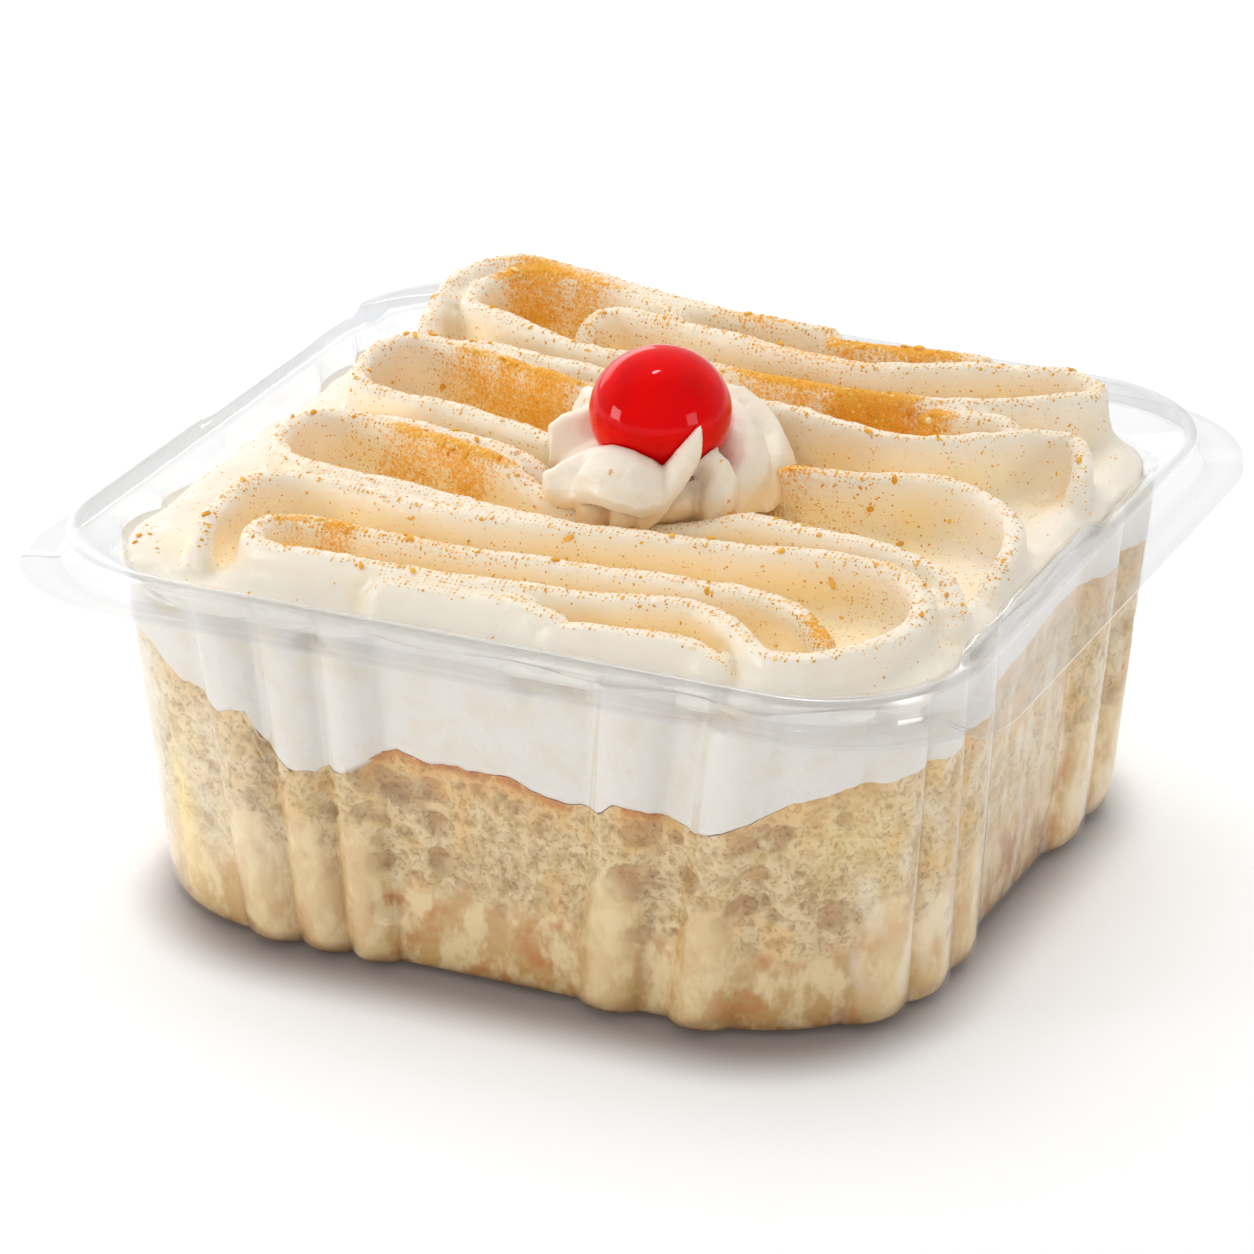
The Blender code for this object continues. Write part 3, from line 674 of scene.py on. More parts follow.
@dataclass(frozen=True)
class TubForm:
    """Sizes of the tub's inside and outside, and the rule for its outline."""

    under_z: float = -FOOT_DEPTH
    base_half: tuple[float, float] = (54.5, 52.3)
    base_radius: float = 23.6
    top_half: tuple[float, float] = (58.2, 53.2)
    top_radius: float = 20.0
    top_z: float = 46.3
    ridge_half: tuple[float, float] = (63.5, 58.3)
    ridge_radius: float = 20.5
    ridge_z: float = 50.9
    flange_half: tuple[float, float] = (70.0, 62.9)
    flange_radius: float = 22.7
    flange_z: float = 47.0
    mark_straight: float = 31.3
    mark_radius: float = 20.0
    rib_depth: float = 2.6
    front_ribs: tuple = ((-33.4, -25.8), (-25.8, -18.4), (-18.4, -11.6), (14.6, 23.0), (27.2, 35.0))
    side_ribs: tuple = ((-46.0, -37.0), (-37.0, -28.7), (-28.7, -17.7), (14.0, 26.0), (26.0, 37.4))
    hump_span: tuple[float, float] = (-34.0, 8.0)
    hump_rise: float = 1.6
    strip_reach: float = 40.0
    strip_drop: float = 1.0
    step_run: float = 2.2
    food_gap: float = 0.3
    ledge_gap: float = 0.35
    ridge_gap: float = 0.6

    @property
    def wall_length(self) -> float:
        """Way along one wall, from mid corner to mid corner."""
        return 2 * (self.mark_straight + self.mark_radius * math.pi / 4)

    @property
    def way_round(self) -> float:
        """Way round all four walls."""
        return 4 * self.wall_length

    def gap_round(self, way: np.ndarray, mark: float) -> np.ndarray:
        """Shortest way round the tub from each place to a mark."""
        gap = np.abs(way - mark % self.way_round)
        return np.minimum(gap, self.way_round - gap)

    def places(self, per_wall: int) -> Places:
        """Evenly spaced places round the tub."""
        marks = (np.arange(per_wall) / per_wall - 0.5) * self.wall_length
        wall = np.repeat(np.arange(4), per_wall)
        mark = np.tile(marks, 4)
        share = np.zeros(len(mark))
        for odd, ribs in ((0, self.front_ribs), (1, self.side_ribs)):
            for start, end in ribs:
                here = (wall % 2 == odd) & (mark > start) & (mark < end)
                share[here] = np.sin(math.pi * (mark[here] - start) / (end - start)) ** 0.7
        return Places(wall, mark, share, wall * self.wall_length + mark)

    def wall_half(self, z: np.ndarray, inset: float = 0.0) -> tuple[np.ndarray, np.ndarray]:
        """Half sizes of the wall between its ribs at a height."""
        share = (np.asarray(z) - self.under_z) / (self.top_z - self.under_z)
        return (mix(self.base_half[0], self.top_half[0], share) - inset,
                mix(self.base_half[1], self.top_half[1], share) - inset)

    def wall_radius(self, z: np.ndarray, inset: float = 0.0) -> np.ndarray:
        """Corner radius of the wall at a height."""
        share = (np.asarray(z) - self.under_z) / (self.top_z - self.under_z)
        return mix(self.base_radius, self.top_radius, share) - inset

    def outline(self, places: Places, half: tuple, radius: float, rib: float) -> np.ndarray:
        """Plan points of the places on a rounded rectangle whose ribs bulge by rib."""
        odd = places.wall % 2 == 1
        along_half = np.where(odd, half[1], half[0])
        out_half = np.where(odd, half[0], half[1])
        bulge = rib * places.share
        bent = np.abs(places.mark) > self.mark_straight
        angle = np.where(bent, (np.abs(places.mark) - self.mark_straight) / self.mark_radius, 0.0)
        reach = along_half - radius
        along = np.where(bent, np.sign(places.mark) * (reach + (radius + bulge) * np.sin(angle)),
                         places.mark / self.mark_straight * reach)
        out = np.where(bent, out_half - radius + (radius + bulge) * np.cos(angle), out_half + bulge)
        turn = places.wall * math.pi / 2
        return np.column_stack([along * np.cos(turn) + out * np.sin(turn),
                                along * np.sin(turn) - out * np.cos(turn)])

    def hump(self, places: Places) -> np.ndarray:
        """1 in the raised stretch of the ledge on the two side walls."""
        start, end = self.hump_span
        rise = ramp(places.mark, start - self.step_run / 2, start + self.step_run / 2)
        fall = ramp(-places.mark, -end - self.step_run / 2, -end + self.step_run / 2)
        return rise * fall * (places.wall % 2)

    def strip(self, places: Places) -> np.ndarray:
        """1 along the lower middle strip of the flange on the two side walls."""
        away = np.abs(places.mark)
        return ramp(-away, -self.strip_reach - 0.8, -self.strip_reach + 0.8) * (places.wall % 2)

    def room(self, z: np.ndarray) -> tuple[np.ndarray, np.ndarray]:
        """Half sizes inside which the food stays at a height, up to the ridge and above."""
        share = np.clip((z - self.top_z) / (self.ridge_z - self.top_z), 0.0, 1.0)
        wall = self.wall_half(np.minimum(z, self.top_z), self.food_gap)
        over = np.where(z > self.top_z, self.ledge_gap, 0.0)
        return (wall[0] - over + (self.ridge_half[0] - self.top_half[0] - self.ridge_gap) * share ** 1.25,
                wall[1] - over + (self.ridge_half[1] - self.top_half[1] - self.ridge_gap) * share ** 1.25)

    def keep_inside(self, rows: np.ndarray) -> np.ndarray:
        """Draws places that would pass through the wall back inside it."""
        half_x, half_y = self.room(rows[:, 2])
        radius = self.top_radius - 0.5
        flat = np.abs(rows[:, :2]) - np.column_stack([half_x - radius, half_y - radius])
        out = np.maximum(flat, 0.0)
        length = np.hypot(out[:, 0], out[:, 1])
        over = length - radius
        moved = rows.copy()
        bent = (over > 0) & (length > 0)
        shift = out[bent] / length[bent][:, None] * over[bent][:, None]
        moved[bent, :2] -= np.sign(rows[bent, :2]) * shift
        return moved


FORM = TubForm()


@dataclass
class Tub:
    """Clear ribbed tub with its ledge, ridge and flange."""

    per_wall: int = 140
    sheet: float = 0.45
    steps: int = 3
    form: TubForm = FORM

    def profile(self) -> np.ndarray:
        """Rows from the underside to the flange.

        Returns:
            For each row z, half x, half y, radius, rib, lift, drop, fold (share of the painted grey line) and
            gleam (share of the painted highlight line).
        """
        form = self.form
        under, deep = form.under_z, form.rib_depth
        low = form.wall_half(under)
        top, ridge, edge = form.top_half, form.ridge_half, form.flange_half
        mid = ((top[0] + ridge[0]) / 2, (top[1] + ridge[1]) / 2)
        rows = []
        for inset, radius, rise, rib, fold in (
                (45, 4.0, 0.0, 0.0, 0), (24, 10.0, 0.0, 0.0, 0), (9, 15.5, 0.0, 0.0, 0),
                (4.2, 19.4, 0.0, 0.0, 0), (1.3, 22.3, 0.0, 0.6, 0.3), (0.2, 23.4, 1.2, 0.9, 0.3)):
            rows.append((under + rise, low[0] - inset, low[1] - inset, radius, rib * deep, 0, 0, fold, 0))
        for z, rib in ((3.0, 1.0), (14.0, 0.98), (28.0, 0.94), (40.0, 0.89)):
            half = form.wall_half(z)
            rows.append((z, half[0], half[1], float(form.wall_radius(z)), rib * deep, 0, 0, 0, 0))
        rows += [
            (form.top_z, top[0], top[1], form.top_radius, 0.85 * deep, 0, 0, 0.55, 0),
            (form.top_z + 1.9, top[0] + 0.8, top[1] + 0.8, 20.4, 0.6 * deep, 1, 0, 0.2, 0.15),
            (form.ridge_z - 0.9, mid[0], mid[1], 20.6, 0.1 * deep, 1, 0, 0.6, 0),
            (form.ridge_z, ridge[0] - 0.5, ridge[1] - 0.5, form.ridge_radius, 0, 0, 0, 0.15, 1),
            (form.ridge_z - 0.3, ridge[0], ridge[1], form.ridge_radius, 0, 0, 0, 0.3, 0.8),
            (form.flange_z + 0.6, ridge[0] + 0.4, ridge[1] + 0.4, 20.8, 0, 0, 0, 0.9, 0),
            (form.flange_z, ridge[0] + 1.3, ridge[1] + 1.3, 21.2, 0, 0, 1, 0.35, 0.35),
            (form.flange_z, mix(ridge[0], edge[0], 0.6), mix(ridge[1], edge[1], 0.6), 22.0, 0, 0, 1, 0, 0),
            (form.flange_z, edge[0] - 0.9, edge[1] - 0.9, form.flange_radius, 0, 0, 1, 0.3, 0.25),
            (form.flange_z - 0.15, edge[0] - 0.3, edge[1] - 0.3, form.flange_radius, 0, 0, 1, 1.0, 0.2),
        ]
        return smooth_curve(rows, self.steps)

    def build(self) -> bpy.types.Object:
        """Extrudes the outline along the profile and gives the sheet its thickness."""
        form = self.form
        places = form.places(self.per_wall)
        rings = []
        profile = self.profile()
        for z, half_x, half_y, radius, rib, lift, drop, _, _ in profile:
            plan = form.outline(places, (half_x, half_y), radius, max(rib, 0.0))
            rise = form.hump_rise * lift * form.hump(places) - form.strip_drop * drop * form.strip(places)
            rings.append(np.column_stack([plan, max(z, form.under_z) + rise]))
        tub = Bench.stack_of_rings("tub_sheet", np.array(rings), open_top=True)
        ring, _ = Bench.order(tub)
        # Painted grey lines and highlight lines along the folds, a share for each profile row.
        Bench.paint(tub, "fold", np.clip(profile[ring, 7], 0.0, 1.0))
        Bench.paint(tub, "gleam", np.clip(profile[ring, 8], 0.0, 1.0))
        Bench.apply(tub, "SOLIDIFY", thickness=self.sheet, offset=-1.0)
        return Bench.finish(tub, ClearPlastic(), ["tub"], sharp_deg=50.0)


@dataclass
class Filling:
    """What the sponge and the pressed cream share: they reach just into the wall."""

    form: TubForm = FORM
    inset: float = 0.26
    mean_z: float = 33.0
    sponge_edge: tuple = (
        (-44, 38.5), (-39.3, 36.2), (-37, 34.6), (-34.8, 34.5), (-31, 32.4), (-27.6, 33.1),
        (-26.4, 29.3), (-22.5, 25.8), (-18.4, 26.7), (-15.4, 27.1), (-12.8, 29.3), (-9.4, 30.8),
        (-6, 29.5), (-2, 29.8), (4.9, 29.7), (8.3, 28.3), (11.2, 27.9), (16.4, 28.1), (18.1, 30.2),
        (22.9, 29.3), (26.8, 27.9), (30, 28.6), (34.9, 31), (39.2, 33.6), (47, 35.5), (52, 36.5),
        (62, 36.5), (80, 38.0), (100, 40.5), (125, 39.5), (140, 36.5), (165, 34.0), (195, 36.5),
        (215, 33.0), (235, 35.0), (255, 39.0), (280, 37.0), (305, 35.0), (320, 37.5),
    )

    def edge(self, places: Places) -> np.ndarray:
        """Height of the sponge's top at the wall, with its small crags."""
        around = self.form.way_round
        known = sorted((away % around, height) for away, height in self.sponge_edge)
        known = [(known[-1][0] - around, known[-1][1])] + known + [(known[0][0] + around, known[0][1])]
        where = places.round % around
        base = np.interp(where, [k[0] for k in known], [k[1] for k in known])
        rows = np.column_stack([where, np.zeros_like(where), np.zeros_like(where)])
        return base + 0.45 * soft_noise(rows, 2.2, 1.0) + 0.22 * soft_noise(rows, 0.9, 2.0)

    def inner_ring(self, places: Places, share: float, z: np.ndarray) -> np.ndarray:
        """Ring well inside the tub, a share of the way out."""
        plan = self.form.outline(places, self.form.wall_half(self.mean_z, 1.0), 19.0, 0.0)
        return np.column_stack([plan * share, z])

    def wall_ring(self, places: Places, z: np.ndarray, inset: np.ndarray) -> np.ndarray:
        """Ring along the wall at heights that may differ from place to place."""
        form = self.form
        rib = form.rib_depth * mix(1.0, 0.85, np.clip((np.asarray(z) - 3.0) / (form.top_z - 3.0), 0, 1))
        plan = form.outline(places, form.wall_half(z, inset), form.wall_radius(z, 0.3), rib)
        return np.column_stack([plan, np.broadcast_to(z, len(places.mark))])


@dataclass
class Sponge(Filling):
    """Milk-soaked sponge with pits, holes and a browned top edge."""

    per_wall: int = 215
    levels: int = 88
    soak_z: float = 11.5
    seed: int = 5
    small_pits: int = 1100
    bowl_depth: float = 0.7
    wall_low: float = 3.0
    foot_rings: tuple = (
        (45, 4, 0, 0.3), (24, 10, 0, 0.3), (9, 15.3, 0, 0.3), (4.2, 19.1, 0, 0.3),
        (1.4, 21.9, 1.5, 0.33), (0.55, 22.7, 2.0, 0.85), (0.1, 23.1, 2.3, 1.7), (0.0, 23.3, 2.5, 2.9),
    )
    top_rings: tuple = ((0.985, 0.3), (0.93, 0.2), (0.6, 0.0), (0.3, 0.0))
    butter_marks: tuple = (
        (-41.5, 14.0, 2.4, 13.0, 0.8), (-39.0, 26.0, 3.0, 5.0, 0.35), (47.0, 28.0, 5.0, 6.0, 0.25),
        (-33.0, 12.0, 2.0, 6.0, 0.3),
    )
    crust_spans: tuple = (
        (-14.5, 14.0, 1.0), (17.0, 27.0, 1.0), (30.0, 52.0, 0.45), (-46.0, -28.0, 0.25),
        (60.0, 130.0, 0.4), (150.0, 250.0, 0.55), (265.0, 320.0, 0.4),
    )
    holes: tuple = (
        (-5.0, 21.2, 1.8), (-4.5, 15.9, 1.9), (-9.1, 19.3, 0.9), (-13.0, 27.1, 1.9), (-9.5, 25.0, 2.2),
        (-5.6, 25.9, 1.9), (-12.4, 14.6, 1.6), (20.3, 19.3, 2.7), (28.1, 21.1, 1.6), (34.1, 27.6, 1.6),
        (38.2, 28.9, 1.6), (36.3, 23.2, 1.1), (34.8, 18.4, 1.6), (30.9, 18.9, 1.2), (22.4, 11.4, 1.6),
        (13.9, 10.9, 1.1), (-11.7, 7.7, 1.9), (0.8, 27.3, 1.1), (45.6, 30.7, 1.2), (33.2, 16.1, 1.4),
        (45.9, 16.6, 2.2), (-13.7, 21.9, 1.2), (21.5, 26.5, 2.0),
    )

    def pits(self) -> list[tuple[float, float, float]]:
        """The holes that show, and seeded smaller ones all round: way round, z, radius."""
        draw = np.random.default_rng(self.seed)
        around = self.form.way_round
        found = [(away % around, z, radius) for away, z, radius in self.holes]
        for _ in range(46):
            away = draw.uniform(60.0, around - 50.0)
            found.append((away, draw.uniform(11.0, 34.0), draw.uniform(1.0, 2.3)))
        for _ in range(self.small_pits):
            z = self.soak_z - 5.0 + (30.0 - self.soak_z + 5.0) * draw.random() ** 0.8
            found.append((draw.uniform(0.0, around), z, 0.35 + 0.75 * draw.random() ** 2.5))
        return found

    def hollow(self, way: np.ndarray, z: np.ndarray, rows: np.ndarray) -> np.ndarray:
        """How deep the pits are at each vertex."""
        wobble = soft_noise(rows, 1.3, 3.0)
        depth = np.zeros(len(way))
        for away, height, radius in self.pits():
            side = self.form.gap_round(way, away)
            near = (side < radius * 1.5) & (np.abs(z - height) < radius * 1.5)
            if not near.any():
                continue
            far = np.hypot(side[near], z[near] - height) / radius + 0.28 * wobble[near]
            bowl = self.bowl_depth * radius * np.sqrt(np.clip(1.0 - far ** 2, 0.0, 1.0))
            depth[near] = np.maximum(depth[near], bowl)
        return depth

    def rings(self, places: Places, edge: np.ndarray) -> np.ndarray:
        """Rings from the middle of the underside up the wall and over the top."""
        form = self.form
        low = form.wall_half(form.under_z, self.inset)
        rings = []
        for inset, radius, rib, rise in self.foot_rings:
            plan = form.outline(places, (low[0] - inset, low[1] - inset), radius, rib)
            rings.append(np.column_stack([plan, np.full(len(edge), form.under_z + rise)]))
        for level in range(self.levels + 1):
            z = self.wall_low + (edge - self.wall_low) * level / self.levels
            rings.append(self.wall_ring(places, z, self.inset))
        for share, sink in self.top_rings:
            rings.append(self.inner_ring(places, share, mix(self.mean_z, edge, share ** 3) - sink))
        return np.array(rings)

    def soaked(self, rows: np.ndarray, rib: np.ndarray) -> np.ndarray:
        """1 in the milk-soaked part, which reaches higher where the wall bulges."""
        wet = self.soak_z + 7.5 * rib + 2.5 * soft_noise(rows * (1, 1, 0.5), 9.0, 4.0)
        wet += 1.6 * soft_noise(rows, 2.6, 5.0)
        return 1.0 - ramp(rows[:, 2], wet - 1.6, wet + 1.6)

    def crusted(self, way: np.ndarray, rows: np.ndarray, edge: np.ndarray) -> np.ndarray:
        """How browned the crumb is close under the top edge."""
        strength = np.zeros(len(way))
        for start, end, share in self.crust_spans:
            shifted = (way - start) % self.form.way_round
            inside = ramp(shifted, 0.0, 3.0) * ramp(-shifted, start - end, start - end + 3.0)
            strength = np.maximum(strength, share * inside)
        band = 3.2 + 2.2 * soft_noise(rows, 3.0, 7.0)
        drop = np.clip((edge - rows[:, 2]) / band, 0, 9)
        return strength * np.exp(-drop ** 1.5)

    def buttered(self, way: np.ndarray, z: np.ndarray) -> np.ndarray:
        """How yellow the crumb is in its richer streaks."""
        butter = np.zeros(len(way))
        for mark, height, wide, tall, share in self.butter_marks:
            gap = self.form.gap_round(way, mark)
            butter = np.maximum(butter, share * np.exp(-(gap / wide) ** 2 - ((z - height) / tall) ** 2))
        return butter

    def smeared(self, way: np.ndarray, rows: np.ndarray, side_wall: np.ndarray) -> np.ndarray:
        """How much cream is smeared between the crumb and the wall."""
        around = self.form.way_round
        left_end = (way - around + 52.0) / 30.0
        smear = np.where(way > around - 60.0, np.clip(1.0 - left_end, 0.0, 1.0), 0.0)
        smear = smear * ramp(rows[:, 2], 6.0, 14.0) * (0.75 + 0.5 * soft_noise(rows, 4.0, 20.0))
        streaks = 0.35 * side_wall * ramp(soft_noise(rows * (1, 1, 0.4), 3.0, 21.0), 0.0, 0.4)
        return np.clip(np.maximum(smear, streaks), 0.0, 0.9)

    def build(self) -> bpy.types.Object:
        """Builds the sponge's rings, presses the crumb and its pits in and paints it."""
        form = self.form
        places = form.places(self.per_wall)
        edge = self.edge(places)
        sponge = Bench.stack_of_rings("sponge_cake", self.rings(places, edge))
        ring, place = Bench.order(sponge)
        rows = Bench.rows(sponge)
        way, z = places.round[place] % form.way_round, rows[:, 2]
        bottom = len(self.foot_rings)
        side = (ring >= bottom - 2) & (ring <= bottom + self.levels)
        rib, side_wall = places.share[place], places.wall[place] % 2
        soak = self.soaked(rows, rib)
        shown = 1.0 - 0.6 * soak - 0.45 * side_wall * (1.0 - soak)
        crumb = 0.36 * ramp(soft_noise(rows, 1.15, 6.0), 0.1, 0.42) * (1.0 - 0.95 * soak) * shown
        pits = self.hollow(way, z, rows) * shown
        normals = Bench.normals(sponge)
        normals[:, 2] = 0.0
        normals /= np.maximum(np.linalg.norm(normals, axis=1), 1e-6)[:, None]
        Bench.move(sponge, rows - normals * np.where(side, crumb + pits, 0.0)[:, None])
        # Painted shade along the bottom edge, fading out over the lowest few millimetres.
        risen = ramp(z + 0.8 * soft_noise(rows, 4.0, 22.0), form.under_z + 0.6, form.under_z + 3.2)
        for name, values in (
                ("smear", self.smeared(way, rows, side_wall)), ("foot_shade", 0.75 * (1.0 - risen)),
                # Painted shade in the pits grows with their depth.
                ("pit_shade", np.clip(crumb * 0.8 + pits / 2.4, 0.0, 0.75)), ("rib", rib),
                ("crust", self.crusted(way, rows, edge[place])), ("soak", soak),
                ("butter", self.buttered(way, z))):
            Bench.paint(sponge, name, values)
        return Bench.finish(sponge, SpongeCrumb(), ["sponge"])


@dataclass
class CreamLayer(Filling):
    """White cream from the sponge up to the rim, pressed against the wall."""

    per_wall: int = 140
    levels: int = 30
    overlap: float = 0.35

    def build(self) -> bpy.types.Object:
        """Builds the layer over the sponge's edge, with soft hollows near the rim."""
        form = self.form
        places = form.places(self.per_wall)
        edge = self.edge(places) - self.overlap
        top = form.top_z + 0.35 * np.sin(0.33 * places.round)
        rings = [self.inner_ring(places, 0.3, np.full(len(edge), self.mean_z + 0.3)),
                 self.inner_ring(places, 0.6, np.full(len(edge), self.mean_z + 0.3)),
                 self.inner_ring(places, 0.93, mix(self.mean_z, edge, 0.8) + 0.3)]
        for level in range(self.levels + 1):
            share = level / self.levels
            inset = self.inset - 0.06 + 0.9 * (1.0 - ramp(share, 0.0, 0.035))
            rings.append(self.wall_ring(places, mix(edge, top, share), inset))
        rings.append(self.inner_ring(places, 0.98, top - 0.3))
        rings.append(self.inner_ring(places, 0.5, np.full(len(edge), form.top_z - 0.3)))
        layer = Bench.stack_of_rings("cream_layer_pressed", np.array(rings))
        ring, _ = Bench.order(layer)
        rows = Bench.rows(layer)
        upper = ramp(rows[:, 2], 40.5, 45.0)
        gap = np.clip(soft_noise(rows * (1, 1, 1.6), 7.0, 8.0), 0.0, 1.0) * upper
        normals = Bench.normals(layer)
        side = (ring > 2) & (ring < 3 + self.levels)
        Bench.move(layer, rows - normals * np.where(side, 1.6 * gap, 0.0)[:, None])
        # Painted shade: marks where the cream leaves the wall, for a warmer, darker colour.
        Bench.paint(layer, "hollow", np.clip(gap * 2.2, 0.0, 1.0))
        return Bench.finish(layer, PressedCream(), ["cream_layer"])


class Fold(Enum):
    """The ribbon's passes, from the front wall to the back."""

    FRONT = (
        (46, -44, 51.5), (40, -38.5, 53.5), (33, -35, 54), (14, -36, 54), (-13, -38, 54),
        (-30, -37, 54), (-36, -40, 54), (-35, -45, 54), (-28, -47, 54), (-4, -46, 54),
        (13, -44, 54), (26, -41.5, 54), (33, -45, 54), (39, -49.3, 53), (45, -48, 53),
        (50.5, -41, 53), (52.5, -33, 53), (50, -25, 54), (42, -21.5, 55), (26, -24, 55),
        (7, -26.5, 55), (-12, -29, 55), (-32, -26.5, 55), (-41, -27.5, 55), (-44, -33, 54.5),
        (-44, -41, 53), (-42, -46.5, 49.5),
    )
    SECOND = (
        (13, -24.5, 54.6), (0, -26.8, 55), (-13, -25.8, 55), (-25, -23.8, 55), (-36, -22.6, 55),
        (-43, -20.5, 55), (-46.5, -15, 55.5), (-45, -9, 56), (-39, -6.2, 56), (-28, -9, 56),
        (-15, -12.5, 56), (-6, -15.5, 53), (6, -16, 51.5), (15, -15, 52.8), (22, -14.5, 55),
        (30, -15.5, 55), (42, -16.5, 55), (50, -19, 54), (54.6, -24, 52), (55.5, -28, 49),
    )
    SECOND_TWIN = (
        (-38, -4.8, 55.5), (-28, -6, 55.8), (-15, -8.5, 55.5), (-8, -9, 52.8), (0, -9, 51.5),
    )
    THIRD = (
        (54.6, -16, 49.5), (55.6, -9, 53), (54, -2, 54.5), (50, 2.5, 55), (43, 5, 56),
        (35, 3.5, 56), (25, 1, 56), (20, 1.6, 55.2), (12, 1.4, 52.6), (0, -1, 52),
        (-7, -2.5, 52.8), (-13, -3, 56), (-26, 1, 56), (-37, 2.5, 56), (-44, 4.5, 56),
        (-47, 11, 56.5), (-46, 18, 57), (-42, 20.8, 57), (-33, 19, 57), (-22, 15.5, 57),
        (-13, 14, 57), (0, 16, 57), (12, 18, 57), (22, 15.5, 57), (30, 14, 57), (36, 16, 57),
        (41, 21, 56.5), (47, 25.5, 56), (52, 25.5, 56), (54.8, 21, 54.5), (55.4, 16, 50),
    )
    THIRD_TWIN = (
        (-40, 21.5, 56.5), (-34, 22.3, 57), (-27, 21, 57), (-17, 19.5, 57), (-6, 19, 56.5),
    )
    THIRD_END = ((29, 24.5, 56), (35, 26, 56.5), (40.5, 27, 56.5), (44.5, 24.8, 56))
    FOURTH = (
        (-12, 41, 57), (-20, 45, 58), (-30, 47.6, 58.2), (-38, 48, 58.4), (-42, 45, 58.2),
        (-43.5, 40, 58), (-42, 34, 58), (-37, 31.5, 58), (-28, 28.3, 57.5), (-18, 26, 57),
        (-8, 27.5, 57), (8, 26.5, 57), (22, 27.5, 57), (33, 29, 57), (39, 32, 57),
        (44.5, 36, 57), (48.6, 40.6, 56.5), (48, 44.6, 56.5), (43, 45.8, 57), (37, 43.2, 57.5),
        (29, 39.5, 58), (22, 35.5, 58), (14, 34, 58), (3, 35.5, 58), (-8, 37.3, 58),
        (-16, 38.7, 58), (-21, 39.5, 57.8), (-24, 37, 57.3), (-24, 32, 56),
    )
    OUTER = (
        (-45.5, 26, 55.5), (-47, 34, 57.5), (-47.4, 41, 58.4), (-45.5, 46.5, 58.8),
        (-40, 49.8, 59), (-30, 49.2, 58.6), (-20, 47, 58.2), (-8, 45, 58), (2, 44.3, 58),
        (11, 45.6, 57.6),
    )
    BACK_SCRAP = ((7, 43.4, 56.6), (15, 43, 57.3), (24, 43.8, 57.5), (34, 46, 57))
    LEFT_FOLD = ((-17, -50.2, 50.5), (-14, -48.9, 52.4), (-5, -48.7, 53), (6, -49, 53), (13, -49.6, 52))
    RIGHT_FOLD = ((8, -50.4, 50.5), (13, -50, 52.2), (22, -49.6, 52.5), (28, -49, 52.5), (35, -50.4, 50.5))


